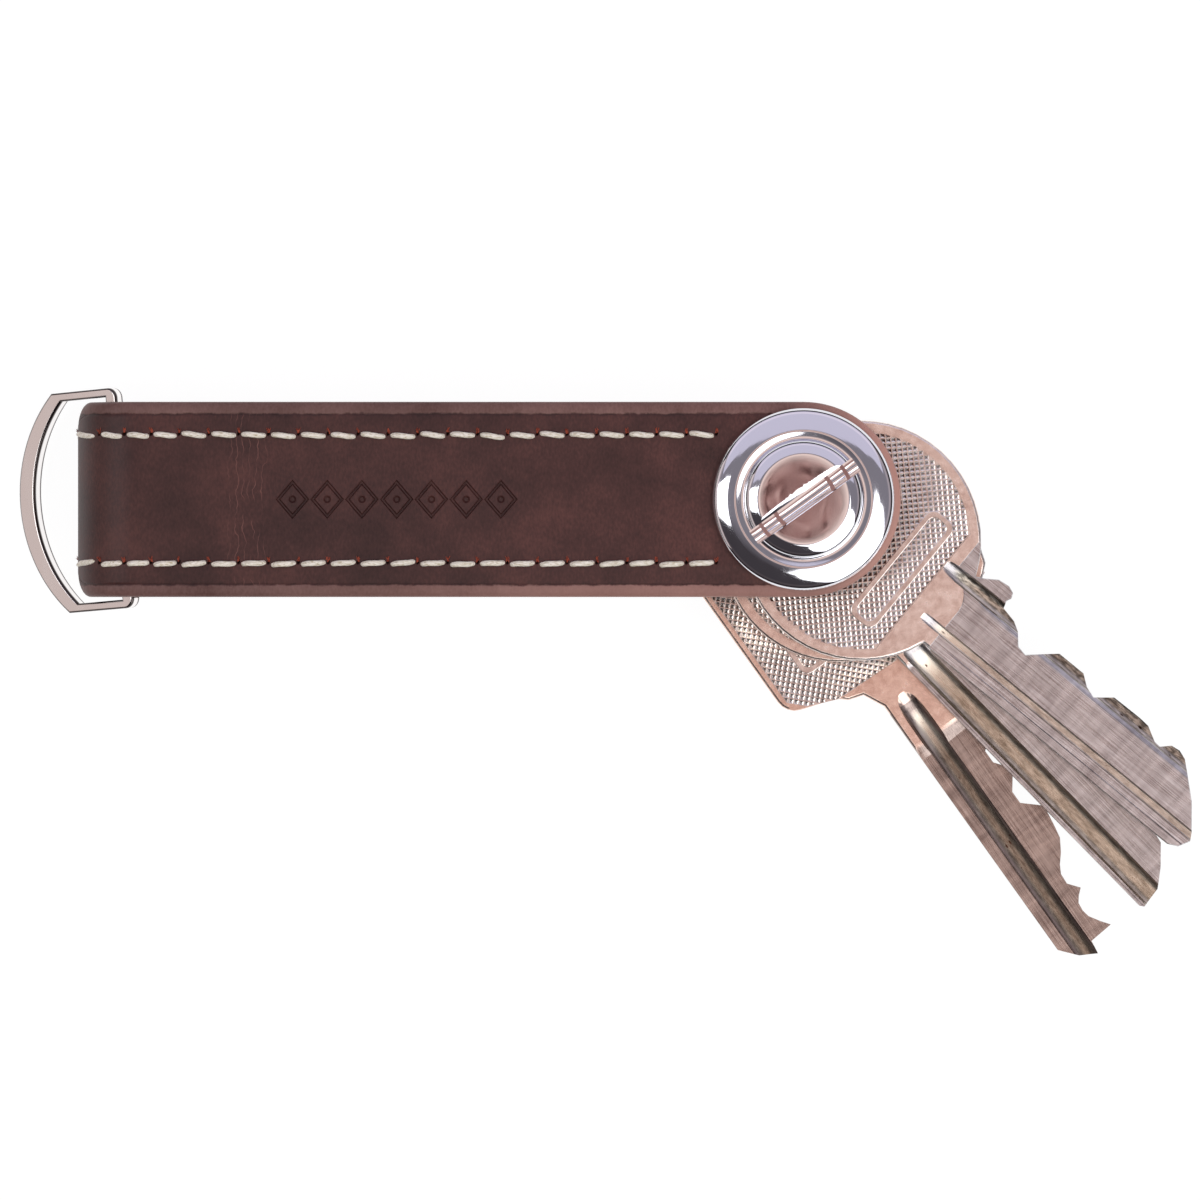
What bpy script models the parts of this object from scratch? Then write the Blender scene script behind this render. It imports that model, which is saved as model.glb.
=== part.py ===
"""Leather key organizer: a folded strap with a ring at its fold and three keys on a coin-screw post.

Metres, +Z up. The organizer lies on its back: the origin is on the post's axis, on the flat outer
face of the post's disc. +X is the end with the post and the keys, and the strap runs to -X.
"""

import math

import bmesh
import bpy

mm = 0.001

# Strap: one strip of leather, lined, folded in half and stitched along both edges
strap_width = 20.8 * mm
strap_reach = 77.6 * mm
outer_leather = 1.4 * mm
lining_leather = 0.9 * mm
glue_line = 0.1 * mm
strap_corner = 2.6 * mm
strap_edge_round = 0.45 * mm
lining_inset = 0.2 * mm
lining_edge_round = 0.15 * mm
fold_steps = 18
strap_end_steps = 32
corner_steps = 5

# Clearances
seat_gap = 0.12 * mm
running_gap = 0.2 * mm
thread_play = 0.08 * mm
cut_overrun = 2 * mm
weld_distance = 0.001 * mm

# Nut: a flat disc with a hollow barrel that everything turns on
disc_radius = 9.7 * mm
disc_height = 2 * mm
disc_rim = 0.4 * mm
barrel_radius = 2.75 * mm
bore_radius = 2.1 * mm
bore_floor = 1.2 * mm
turn_steps = 64

# Coin screw: a raised boss with a slot, a valley, a cove and a rim, over a shank in the barrel
boss_radius = 6.4 * mm
boss_height = 2.75 * mm
boss_bevel_width = 1.25 * mm
boss_bevel_height = 0.6 * mm
valley_width = 0.6 * mm
valley_height = 1.15 * mm
cove_width = 1 * mm
head_crest_width = 1.2 * mm
head_crest_height = 1.7 * mm
head_rim_width = 0.5 * mm
head_rim_height = 1.35 * mm
head_edge_height = 0.55 * mm
slot_width = 2.2 * mm
slot_floor = 1.25 * mm
slot_angle = math.radians(35.6)
shank_end_gap = 0.4 * mm
shank_chamfer = 0.4 * mm

# Washers between the lining and the outer keys
washer_radius = 7 * mm
washer_thickness = 0.7 * mm
washer_steps = 40

# Ring at the fold: a flat plate ring, its bar inside the fold and its bow on the table
ring_thickness = 1.5 * mm
ring_bar_width = 1.4 * mm
ring_arm_width = 0.95 * mm
ring_side_play = 0.5 * mm
ring_arm_reach = 7.7 * mm
ring_bow_rise = 5.3 * mm
ring_bow_width = 2 * mm
ring_bow_end_width = 1.25 * mm
ring_corner = 1.1 * mm
ring_edge_round = 0.2 * mm
ring_bow_steps = 20
ring_fold_gap = 0.15 * mm
ring_side_shift = 0.25 * mm
ring_bar_drop = 1.2 * mm
ring_table_gap = 0.1 * mm
ring_tilt = math.radians(4.8)

# Stitching: two rows of lockstitch, one thread outside and one inside
stitch_pitch = 3.18 * mm
outer_thread_radius = 0.33 * mm
inner_thread_radius = 0.13 * mm
stitch_gap = 0.08 * mm
stitch_slant = math.radians(5)
seam_edge_distance = 3.55 * mm
seam_end_gap = 0.3 * mm
# Along one stitch from its first hole: how far, and how full the thread is there
stitch_shares = [(0, 0.35), (0.2, 0.95), (0.8, 0.95)]

# Keys: what all three share
key_thickness = 2.1 * mm
key_edge_round = 0.2 * mm
field_depth = 0.16 * mm
field_rim = 1.35 * mm
field_land_width = 0.65 * mm
blade_step = 0.1 * mm
step_lean = 1.2 * mm
bow_steps = 44
hole_steps = 24

# Each key: its turn from +X, its bow, the step from the bow to its collar, how far it reaches, and
# its blade. Milled faces and grooves start before or past the collar; a groove is given as its
# (middle, width, depth, start).
front_key = {
    "turn": math.radians(-39.4),
    "bow_radius": 12.85 * mm,
    "bow_reach": 7.6 * mm,
    "bow_side": 0.6 * mm,
    "bow_leave": math.radians(22),
    "field_leave": math.radians(43),
    "collar_step": 0.8 * mm,
    "reach": 55.2 * mm,
    "spine": 3.68 * mm,
    "blade_height": 8.55 * mm,
    "milled_start": 0.3 * mm,
    "front_grooves": [
        (-1.4 * mm, 1 * mm, 0.6 * mm, -2.1 * mm),
        (4.2 * mm, 1.6 * mm, 0.55 * mm, -3.9 * mm),
    ],
    "rear_grooves": [(0.9 * mm, 1.7 * mm, 0.8 * mm, -0.3 * mm)],
}
middle_key = {
    "turn": math.radians(-45.7),
    "bow_radius": 12.45 * mm,
    "bow_reach": 6.2 * mm,
    "bow_side": -0.7 * mm,
    "bow_leave": math.radians(62),
    "field_leave": math.radians(41),
    "collar_step": 5 * mm,
    "reach": 56.8 * mm,
    "spine": 4.5 * mm,
    "blade_height": 8.4 * mm,
    "milled_start": 3.2 * mm,
    "front_grooves": [(-2.7 * mm, 2.6 * mm, 0.75 * mm, 2.2 * mm)],
    "rear_grooves": [(1.3 * mm, 1.7 * mm, 0.8 * mm, 3 * mm)],
}
angular_key = {
    "turn": math.radians(-54.5),
    "bow_half_width": 13.45 * mm,
    "bow_length": 25 * mm,
    "bow_tail": 6.6 * mm,
    "bow_side": -1.25 * mm,
    "bow_corner": 2.2 * mm,
    "field_margin": 3.6 * mm,
    "collar_step": 4.8 * mm,
    "reach": 58.1 * mm,
    "spine": 5.65 * mm,
    "blade_height": 8.4 * mm,
    "milled_start": 0.4 * mm,
    "front_grooves": [(-3.35 * mm, 2.5 * mm, 0.75 * mm, 0 * mm)],
    "rear_grooves": [(0.6 * mm, 1.7 * mm, 0.8 * mm, -1.2 * mm)],
}

# The cut edge of each blade from the collar to the tip, as shares of the way from the collar to the
# key's reach and of the blade's height above its spine
front_cut_shares = [
    (0, 1.11), (0.038, 1.216), (0.075, 1.235), (0.098, 1.2), (0.105, 1.13), (0.098, 1.07),
    (0.105, 0.978), (0.155, 0.935), (0.184, 0.865), (0.215, 0.724), (0.247, 0.7),
    (0.276, 0.806), (0.326, 0.982), (0.421, 0.982), (0.456, 0.876), (0.491, 0.829),
    (0.513, 0.9), (0.541, 0.994), (0.639, 1), (0.676, 0.99), (0.723, 0.886), (0.745, 0.881),
    (0.771, 0.985), (0.799, 1), (0.828, 0.959), (0.861, 0.84), (0.926, 0.606), (0.987, 0.3),
    (1, 0.206), (0.981, 0.06), (0.951, 0),
]
middle_cut_shares = [
    (0, 1.74), (0.038, 1.65), (0.061, 1.49), (0.065, 1.3), (0.087, 1.08), (0.164, 0.99),
    (0.187, 0.97), (0.218, 0.8), (0.249, 0.8), (0.286, 0.95), (0.329, 0.92), (0.365, 0.75),
    (0.401, 0.75), (0.443, 0.9), (0.486, 0.73), (0.526, 0.71), (0.572, 0.84), (0.615, 0.74),
    (0.657, 0.7), (0.715, 0.84), (0.814, 0.86), (0.907, 0.76), (0.954, 0.54), (0.991, 0.315),
    (1, 0.037), (0.989, 0),
]
angular_cut_shares = [
    (0, 0.99), (0.068, 0.99), (0.109, 0.82), (0.151, 0.82), (0.193, 0.97), (0.251, 0.9),
    (0.292, 0.72), (0.334, 0.72), (0.384, 0.88), (0.442, 0.7), (0.484, 0.7), (0.534, 0.93),
    (0.607, 0.883), (0.642, 0.855), (0.68, 0.758), (0.709, 0.656), (0.735, 0.596),
    (0.77, 0.588), (0.804, 0.7), (0.822, 0.617), (0.839, 0.564), (0.865, 0.552),
    (0.89, 0.571), (0.925, 0.662), (0.95, 0.74), (0.957, 0.418), (1, 0.394), (0.972, 0.183),
    (0.92, 0),
]
# The angular bow's corners from the collar round to the spine, as shares of its length behind the
# tail and of its half width
angular_bow_shares = [
    (1, 0.8), (0.96, 0.95), (0.3, 1), (0, 0.62), (0, -0.62), (0.3, -1), (0.975, -1),
]
angular_neck_shares = [(1.045, -0.6), (1.08, -0.53), (1.1, -0.41)]

# Levels of the stack, from the table up
strap_thickness = outer_leather + glue_line + lining_leather
strap_low = disc_height + seat_gap
pocket_floor = strap_low + strap_thickness
rear_washer_level = pocket_floor + seat_gap
angular_key_level = rear_washer_level + washer_thickness + seat_gap
middle_key_level = angular_key_level + key_thickness + seat_gap
front_key_level = middle_key_level + key_thickness + seat_gap
front_washer_level = front_key_level + key_thickness + seat_gap
pocket_ceiling = front_washer_level + washer_thickness + seat_gap
strap_top = pocket_ceiling + strap_thickness
head_seat = strap_top + seat_gap

half_width = strap_width / 2
hole_radius = barrel_radius + running_gap
fold_level = (strap_low + strap_top) / 2
fold_radius = (strap_top - strap_low) / 2
fold_place = fold_radius - strap_reach
seam_radius = fold_radius - strap_thickness / 2

# The ring's bar lies as far out in the fold as its width, its tilt and its drop let it
bar_corner = math.hypot(ring_bar_width, ring_thickness) / 2
fold_room = fold_radius - strap_thickness - bar_corner - ring_fold_gap
ring_place = fold_place + half_width * math.sin(ring_tilt) - math.sqrt(fold_room**2 - ring_bar_drop**2)
ring_bow_reach = ring_arm_reach + ring_bow_rise

# Rings of the coin screw's head, from its boss out
valley_radius = boss_radius + valley_width
crest_radius = valley_radius + cove_width
rim_radius = crest_radius + head_crest_width
head_radius = rim_radius + head_rim_width

leather_brown = (0.075, 0.035, 0.028)
lining_brown = (0.12, 0.065, 0.048)
thread_cream = (0.7, 0.66, 0.52)
chrome = (0.82, 0.82, 0.84)
nickel = (0.6, 0.54, 0.5)
nylon = (0.72, 0.71, 0.68)


def clear_scene():
    """Removes the scene's objects and makes the collections for parts and for cutters."""
    for old in list(bpy.data.objects):
        bpy.data.objects.remove(old)
    made = []
    for name in ("key_organizer", "cutters"):
        made.append(bpy.data.collections.new(name))
        bpy.context.scene.collection.children.link(made[-1])
    return made


parts, cutters = clear_scene()


def finish(piece, colour, roughness, metallic=0):
    """Gives a piece its own Principled material and smooth shading with sharp real edges."""
    look = bpy.data.materials.new(piece.name)
    look.use_nodes = True
    shader = look.node_tree.nodes["Principled BSDF"]
    shader.inputs["Base Color"].default_value = (*colour, 1)
    shader.inputs["Roughness"].default_value = roughness
    shader.inputs["Metallic"].default_value = metallic
    piece.data.materials.clear()
    piece.data.materials.append(look)
    if piece.type == "MESH":
        piece.data.shade_smooth()
        piece.data.set_sharp_from_angle(angle=math.radians(35))


def link(name, mesh, collection=parts):
    """Makes a named object of a mesh."""
    piece = bpy.data.objects.new(name, mesh)
    collection.objects.link(piece)
    if collection == cutters:
        piece.hide_render = True
        piece.display_type = "WIRE"
    return piece


def mesh_from(name, shape):
    """Turns a bmesh into a mesh and frees it."""
    mesh = bpy.data.meshes.new(name)
    shape.to_mesh(mesh)
    shape.free()
    return mesh


def arc(centre, radius, start, end, steps):
    """Points along an arc, both ends included."""
    angles = [start + (end - start) * step / steps for step in range(steps + 1)]
    return [(centre[0] + radius * math.cos(a), centre[1] + radius * math.sin(a)) for a in angles]


def circle(radius, steps):
    """Points round a circle at the origin."""
    return arc((0, 0), radius, 0, math.tau, steps)[:-1]


def rounded_corners(points, radius, steps=4):
    """A closed outline with each corner replaced by an arc that touches both sides."""
    rounded = []
    for i, (x, y) in enumerate(points):
        before, after = points[i - 1], points[(i + 1) % len(points)]
        back = math.atan2(before[1] - y, before[0] - x)
        ahead = math.atan2(after[1] - y, after[0] - x)
        half = math.remainder(ahead - back, math.tau) / 2
        if abs(half) > math.radians(86):
            rounded.append((x, y))
            continue
        reach = radius / math.sin(abs(half))
        middle = back + half
        centre = (x + reach * math.cos(middle), y + reach * math.sin(middle))
        start = back - math.copysign(math.pi / 2, half)
        sweep = math.copysign(math.pi - 2 * abs(half), half)
        rounded += arc(centre, radius, start, start - sweep, steps)
    return rounded


def plate(name, outlines, bottom, thickness, collection=parts, edge_round=0):
    """A flat plate from closed outlines: the first is its edge and the others are holes."""
    flat = bpy.data.curves.new(name, "CURVE")
    flat.dimensions = "2D"
    flat.fill_mode = "BOTH"
    flat.extrude = thickness / 2 - edge_round
    flat.bevel_depth = edge_round
    flat.bevel_resolution = 0
    flat.offset = -edge_round
    for outline in outlines:
        line = flat.splines.new("POLY")
        line.points.add(len(outline) - 1)
        for point, (x, y) in zip(line.points, outline):
            point.co = (x, y, 0, 1)
        line.use_cyclic_u = True
    drawing = bpy.data.objects.new(name + "_drawing", flat)
    collection.objects.link(drawing)
    seen = drawing.evaluated_get(bpy.context.evaluated_depsgraph_get())
    drawn = bpy.data.meshes.new_from_object(seen)
    bpy.data.objects.remove(drawing)
    shape = bmesh.new()
    shape.from_mesh(drawn)
    bmesh.ops.remove_doubles(shape, verts=shape.verts, dist=weld_distance)
    bmesh.ops.translate(shape, verts=shape.verts, vec=(0, 0, bottom + thickness / 2))
    return link(name, mesh_from(name, shape), collection)


def turned(name, profile):
    """A solid of revolution about Z from (radius, height) points, its outer side running down."""
    shape = bmesh.new()
    points = [shape.verts.new((radius, 0, height)) for radius, height in profile]
    for pair in zip(points, points[1:]):
        shape.edges.new(pair)
    piece = link(name, mesh_from(name, shape))
    spin = piece.modifiers.new("Turn", "SCREW")
    spin.steps = turn_steps
    spin.render_steps = turn_steps
    spin.use_merge_vertices = True
    spin.merge_threshold = weld_distance
    return piece


def cut(piece, cutter, operation="DIFFERENCE"):
    """Adds a Boolean with another object."""
    step = piece.modifiers.new("Cut", "BOOLEAN")
    step.operation = operation
    step.object = cutter


def round_edges(piece, width, segments=1):
    """Rounds the edges where faces meet at more than 50 degrees."""
    step = piece.modifiers.new("Round", "BEVEL")
    step.width = width
    step.segments = segments
    step.limit_method = "ANGLE"
    step.angle_limit = math.radians(50)


def strap_outline(inset):
    """The strap from above: round at the post, with small corners at the fold."""
    side = half_width - inset
    corner_x = strap_corner - strap_reach
    corner_y = half_width - strap_corner
    corner = strap_corner - inset
    return [
        *arc((0, 0), side, -math.pi / 2, math.pi / 2, strap_end_steps),
        *arc((corner_x, corner_y), corner, math.pi / 2, math.pi, corner_steps),
        *arc((corner_x, -corner_y), corner, math.pi, 3 * math.pi / 2, corner_steps),
    ]


def leather_layer(name, outer_radius, thickness, inset, edge_round, colour, roughness):
    """One layer of the strap: a folded sheet cut to the strap's outline, with the post's holes."""
    end = half_width + cut_overrun
    fold = arc((fold_place, fold_level), outer_radius, 1.5 * math.pi, 0.5 * math.pi, fold_steps)
    path = [(end, fold_level - outer_radius), *fold, (end, fold_level + outer_radius)]
    shape = bmesh.new()
    points = [shape.verts.new((x, -strap_width, z)) for x, z in path]
    lines = [shape.edges.new(pair) for pair in zip(points, points[1:])]
    drawn = bmesh.ops.extrude_edge_only(shape, edges=lines)["geom"]
    moved = [item for item in drawn if isinstance(item, bmesh.types.BMVert)]
    bmesh.ops.translate(shape, verts=moved, vec=(0, 2 * strap_width, 0))
    bmesh.ops.recalc_face_normals(shape, faces=shape.faces)
    if max(shape.faces, key=lambda face: face.calc_center_median().z).normal.z < 0:
        bmesh.ops.reverse_faces(shape, faces=shape.faces)
    piece = link(name, mesh_from(name, shape))
    wall = piece.modifiers.new("Thickness", "SOLIDIFY")
    wall.thickness = thickness
    wall.offset = -1
    wall.use_even_offset = True
    height = strap_top - strap_low + 2 * cut_overrun
    low = strap_low - cut_overrun
    edge = plate(name + "_outline", [strap_outline(inset)], low, height, cutters)
    cut(piece, edge, "INTERSECT")
    hole = plate(name + "_hole", [circle(hole_radius, hole_steps)], low, height, cutters)
    cut(piece, hole)
    round_edges(piece, edge_round)
    finish(piece, colour, roughness)


def seam_point(along, across, out):
    """A place on the seam: its way along the fold's middle line, across, and out from it."""
    quarter = seam_radius * math.pi / 2
    if abs(along) < quarter:
        angle = along / seam_radius
        radius = seam_radius + out
        return (
            fold_place - radius * math.cos(angle),
            across,
            fold_level + radius * math.sin(angle),
        )
    side = math.copysign(seam_radius + out, along)
    return (fold_place + abs(along) - quarter, across, fold_level + side)


def thread(name, across, side, radius):
    """One thread of a row, from post to post round the fold: full at each stitch, thin at the holes."""
    clear_radius = max(head_radius, disc_radius)
    last = -math.sqrt(clear_radius**2 - across**2) - seam_end_gap
    length = seam_radius * math.pi / 2 + last - fold_place
    count = int(length / stitch_pitch)
    line = bpy.data.curves.new(name, "CURVE")
    line.dimensions = "3D"
    line.bevel_depth = radius
    line.bevel_resolution = 0
    line.use_fill_caps = True
    spline = line.splines.new("POLY")
    places = [(number + share, full) for number in range(-count, count) for share, full in stitch_shares]
    places.append((count, stitch_shares[0][1]))
    spline.points.add(len(places) - 1)
    for point, (number, full) in zip(spline.points, places):
        slant = (number % 1 - 0.5) * stitch_pitch * math.tan(stitch_slant)
        out = side * (strap_thickness / 2 + stitch_gap + radius * full)
        point.co = (*seam_point(number * stitch_pitch, across + slant, out), 1)
        point.radius = full
    piece = bpy.data.objects.new(name, line)
    parts.objects.link(piece)
    finish(piece, thread_cream, 0.75)


def nut():
    """The disc at the back and the barrel that stands on it."""
    barrel_top = head_seat - seat_gap
    profile = [
        (0, bore_floor),
        (bore_radius, bore_floor),
        (bore_radius, barrel_top),
        (barrel_radius, barrel_top),
        (barrel_radius, disc_height),
        (disc_radius - disc_rim, disc_height),
        (disc_radius, disc_height - disc_rim),
        (disc_radius, disc_rim),
        (disc_radius - disc_rim, 0),
        (0, 0),
    ]
    finish(turned("back_nut", profile), chrome, 0.1, 1)


def coin_screw():
    """The slotted head and its shank, as one turned piece."""
    shank_radius = bore_radius - thread_play
    shank_length = head_seat - bore_floor - shank_end_gap
    profile = [
        (0, boss_height),
        (boss_radius - boss_bevel_width, boss_height),
        (boss_radius, boss_height - boss_bevel_height),
        (boss_radius, valley_height),
        (valley_radius, valley_height),
        (crest_radius, head_crest_height),
        (rim_radius, head_rim_height),
        (head_radius, head_edge_height),
        (head_radius, 0),
        (shank_radius, 0),
        (shank_radius, shank_chamfer - shank_length),
        (shank_radius - shank_chamfer, -shank_length),
        (0, -shank_length),
    ]
    piece = turned("coin_screw", profile)
    half = slot_width / 2
    end = boss_radius + valley_width / 2
    sides = [(-end, -half), (end, -half), (end, half), (-end, half)]
    slot = plate("coin_slot", [sides], slot_floor, boss_height, cutters)
    slot.rotation_euler.z = slot_angle
    slot.location.z = head_seat
    cut(piece, slot)
    piece.location.z = head_seat
    finish(piece, chrome, 0.08, 1)


def washer(name, level):
    """A thin nylon washer on the barrel."""
    outlines = [circle(washer_radius, washer_steps), circle(hole_radius, hole_steps)]
    finish(plate(name, outlines, level, washer_thickness), nylon, 0.4)


def ring():
    """The plate ring: a straight bar, two arms and a curved bow, drooping to the table."""
    inner_side = half_width + ring_side_play
    side = inner_side + ring_arm_width
    bar = ring_bar_width / 2
    radius = (side**2 + ring_bow_rise**2) / (2 * ring_bow_rise)
    spread = math.asin(side / radius)
    corner_x = bar - ring_corner
    corner_y = side - ring_corner
    bow = (radius - ring_bow_reach, 0)
    outline = [
        *arc((corner_x, -corner_y), ring_corner, -math.pi / 2, 0, corner_steps),
        *arc((corner_x, corner_y), ring_corner, 0, math.pi / 2, corner_steps),
        *arc(bow, radius, math.pi - spread, math.pi + spread, ring_bow_steps),
    ]
    inner_reach = ring_bow_reach - ring_bow_width
    inner_rise = ring_bow_rise - ring_bow_width + ring_bow_end_width
    inner_radius = (inner_side**2 + inner_rise**2) / (2 * inner_rise)
    inner_spread = math.asin(inner_side / inner_radius)
    inner_bow = (inner_radius - inner_reach, 0)
    window = [
        (-bar, -inner_side),
        (-bar, inner_side),
        *arc(inner_bow, inner_radius, math.pi - inner_spread, math.pi + inner_spread, ring_bow_steps),
    ]
    piece = plate("d_ring", [outline, window], -ring_thickness / 2, ring_thickness)
    bar_level = fold_level - ring_bar_drop
    half = ring_thickness / 2
    droop = math.asin((bar_level - ring_table_gap) / math.hypot(ring_bow_reach, half))
    droop -= math.atan(half / ring_bow_reach)
    piece.location = (ring_place, ring_side_shift, bar_level)
    piece.rotation_euler = (0, -droop, ring_tilt)
    round_edges(piece, ring_edge_round)
    finish(piece, chrome, 0.15, 1)


def collar_place(key):
    """Where a blade begins, along its key."""
    if "bow_radius" in key:
        bow_end = key["bow_reach"] + key["bow_radius"] * math.cos(key["bow_leave"])
    else:
        bow_end = key["bow_length"] - key["bow_tail"]
    return bow_end + key["collar_step"]


def blade_points(key, shares):
    """The cut edge of a blade as points, from the tip back to the collar."""
    collar = collar_place(key)
    blade = key["reach"] - collar
    points = [(collar + a * blade, b * key["blade_height"] - key["spine"]) for a, b in shares]
    return points[::-1]


def round_bow_outline(key, shares):
    """A key with a round bow: the bow's arc, the spine, the tip and the cut edge."""
    centre = (key["bow_reach"], key["bow_side"])
    radius = key["bow_radius"]
    join = math.tau - math.asin((key["spine"] + key["bow_side"]) / radius)
    return [*arc(centre, radius, key["bow_leave"], join, bow_steps), *blade_points(key, shares)]


def round_bow_field(key):
    """The sunk field of a round bow, up to the line where the neck begins."""
    centre = (key["bow_reach"], key["bow_side"])
    radius = key["bow_radius"] - field_rim
    return arc(centre, radius, key["field_leave"], math.tau - key["field_leave"], bow_steps)


def angular_bow_points(key, inset, shares):
    """Corners of the angular bow, drawn in by an inset."""
    length = key["bow_length"] - 2 * inset
    half = key["bow_half_width"] - inset
    tail = key["bow_tail"] - inset
    return [(a * length - tail, b * half + key["bow_side"]) for a, b in shares]


def angular_bow_outline(key, shares):
    """The key with the angular bow: rounded corners, the neck, the spine, tip and cut edge."""
    corners = angular_bow_points(key, 0, angular_bow_shares)
    neck = angular_bow_points(key, 0, angular_neck_shares)
    bow = rounded_corners([*corners, neck[0]], key["bow_corner"])
    kept = [point for point in bow if point[0] <= corners[0][0]]
    spine_start = (collar_place(key), -key["spine"])
    return [*kept, *neck, spine_start, *blade_points(key, shares)]


def angular_bow_field(key):
    """The sunk field of the angular bow."""
    corners = angular_bow_points(key, field_rim, angular_bow_shares[1:])
    end = key["bow_length"] - key["bow_tail"] - key["field_margin"]
    held = [(min(x, end), y) for x, y in corners]
    return rounded_corners(held, key["bow_corner"] - field_rim)


def groove_outline(key, middle, width, start):
    """A milled groove from above: a pointed run-in, then straight past the tip."""
    end = key["reach"] + cut_overrun
    lead = start + 2 * width
    half = width / 2
    return [
        (start, middle),
        (lead, middle - half),
        (end, middle - half),
        (end, middle + half),
        (lead, middle + half),
    ]


def make_key(name, key, level, outline, field):
    """A key: its plate with the hole, then sunk fields, milled faces and grooves on both sides."""
    hole = circle(hole_radius, hole_steps)[::-1]
    piece = plate(name, [outline, hole], 0, key_thickness, edge_round=key_edge_round)
    collar = collar_place(key)
    side = key["blade_height"] + cut_overrun
    start = collar + key["milled_start"]
    end = key["reach"] + cut_overrun
    faces = [(start + step_lean, -side), (end, -side), (end, side), (start, side)]
    land = circle(hole_radius + field_land_width, hole_steps)
    cuts = []
    for grooves, on_front in ((key["front_grooves"], True), (key["rear_grooves"], False)):
        cuts.append(([faces], blade_step, on_front))
        for middle, width, depth, begin in grooves:
            cuts.append(([groove_outline(key, middle, width, collar + begin)], depth, on_front))
        cuts.append(([field, land], field_depth, on_front))
    for number, (outlines, depth, on_front) in enumerate(cuts):
        bottom = key_thickness - depth if on_front else -cut_overrun
        cutter = plate(f"{name}_cut_{number}", outlines, bottom, depth + cut_overrun, cutters)
        cutter.location.z = level
        cutter.rotation_euler.z = key["turn"]
        cut(piece, cutter)
    piece.location.z = level
    piece.rotation_euler.z = key["turn"]
    finish(piece, nickel, 0.3, 1)


def strap():
    """Both layers of leather and their two rows of stitches."""
    lining_radius = fold_radius - outer_leather - glue_line
    leather_layer(
        "outer_strap", fold_radius, outer_leather, 0, strap_edge_round, leather_brown, 0.45
    )
    leather_layer(
        "lining_strap", lining_radius, lining_leather, lining_inset, lining_edge_round,
        lining_brown, 0.8,
    )
    row = half_width - seam_edge_distance
    for place, across in (("upper", row), ("lower", -row)):
        thread(place + "_outer_thread", across, 1, outer_thread_radius)
        thread(place + "_inner_thread", across, -1, inner_thread_radius)


def keys():
    """The three keys on the barrel, from the coin screw down."""
    for name, key, level, shares in (
        ("front_key", front_key, front_key_level, front_cut_shares),
        ("middle_key", middle_key, middle_key_level, middle_cut_shares),
    ):
        make_key(name, key, level, round_bow_outline(key, shares), round_bow_field(key))
    outline = angular_bow_outline(angular_key, angular_cut_shares)
    field = angular_bow_field(angular_key)
    make_key("angular_key", angular_key, angular_key_level, outline, field)


strap()
ring()
nut()
washer("rear_washer", rear_washer_level)
keys()
washer("front_washer", front_washer_level)
coin_screw()
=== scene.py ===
# %% [markdown]
# # A leather key organizer
# A strip of lined leather is folded round the bar of a D-ring and stitched along both edges. A
# coin-slotted binding post clamps its two ends and carries three keys. The frame is the measured
# model: every solid at its real size and place, on the body that it moves with. This script gives
# it its looks. Where a surface needs finer work than the solid has, a new piece is modelled in the
# same place and stands for that solid.

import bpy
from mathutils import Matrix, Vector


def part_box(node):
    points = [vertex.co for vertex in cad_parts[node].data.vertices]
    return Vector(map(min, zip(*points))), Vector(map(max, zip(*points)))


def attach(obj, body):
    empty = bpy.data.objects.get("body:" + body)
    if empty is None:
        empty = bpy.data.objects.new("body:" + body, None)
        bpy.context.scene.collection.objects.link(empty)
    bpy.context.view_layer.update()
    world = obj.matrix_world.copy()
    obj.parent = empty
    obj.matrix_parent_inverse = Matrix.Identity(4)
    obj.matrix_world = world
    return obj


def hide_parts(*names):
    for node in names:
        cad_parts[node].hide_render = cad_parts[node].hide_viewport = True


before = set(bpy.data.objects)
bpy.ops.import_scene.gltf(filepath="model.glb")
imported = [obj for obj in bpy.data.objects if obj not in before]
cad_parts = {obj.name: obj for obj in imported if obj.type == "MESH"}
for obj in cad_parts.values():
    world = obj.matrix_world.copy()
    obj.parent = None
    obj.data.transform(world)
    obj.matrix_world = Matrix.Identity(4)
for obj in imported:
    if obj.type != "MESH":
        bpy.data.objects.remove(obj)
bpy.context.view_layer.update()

# %% Modules and units
import functools
import math
import random

import bmesh
import bpy
from mathutils import Matrix, Vector

mm = 0.001
merge = 0.001 * mm
random.seed(7)


def in_mm(sizes):
    """Metres from millimetres, for a list of sizes or of points."""
    return [in_mm(size) if isinstance(size, (list, tuple)) else size * mm for size in sizes]


# %% [markdown]
# ## The camera
# The photograph was taken from straight above with a long lens, so a camera one metre up that looks
# down the Z axis gives the same view. Its lens is worked out from the size that a millimetre has in
# the picture at the height of the strap's middle, not guessed.

# %% Place the camera
picture_width_px = 1200
pixels_per_mm = 9.33
focus_level = 8.9 * mm
camera_height = 1000 * mm
view_centre = (-21.65 * mm, -10.72 * mm)
sensor_width_mm = 36


def put_in_scene(name, data):
    """A new object for a mesh, a curve, a lamp or a camera, linked to the scene."""
    made = bpy.data.objects.new(name, data)
    bpy.context.scene.collection.objects.link(made)
    return made


seen_width = picture_width_px / pixels_per_mm * mm
eye = bpy.data.cameras.new("eye")
eye.sensor_width = sensor_width_mm
eye.lens = sensor_width_mm * (camera_height - focus_level) / seen_width
camera = put_in_scene("eye", eye)
camera.location = (*view_centre, camera_height)
bpy.context.scene.camera = camera
bpy.context.scene.view_settings.view_transform = "Standard"
print("Lens:", round(eye.lens, 1), "mm over a view", round(seen_width / mm, 1), "mm wide")

# %% [markdown]
# ## Shader helpers
# Colours are written as sRGB hex values, as a colour picker shows them, and turned to the linear
# values that a shader works with. One small function adds a node, so that each material below reads
# like a recipe: values without a name go to the node's inputs in turn, a capitalised name is an
# input, and a name in small letters is a setting.


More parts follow.
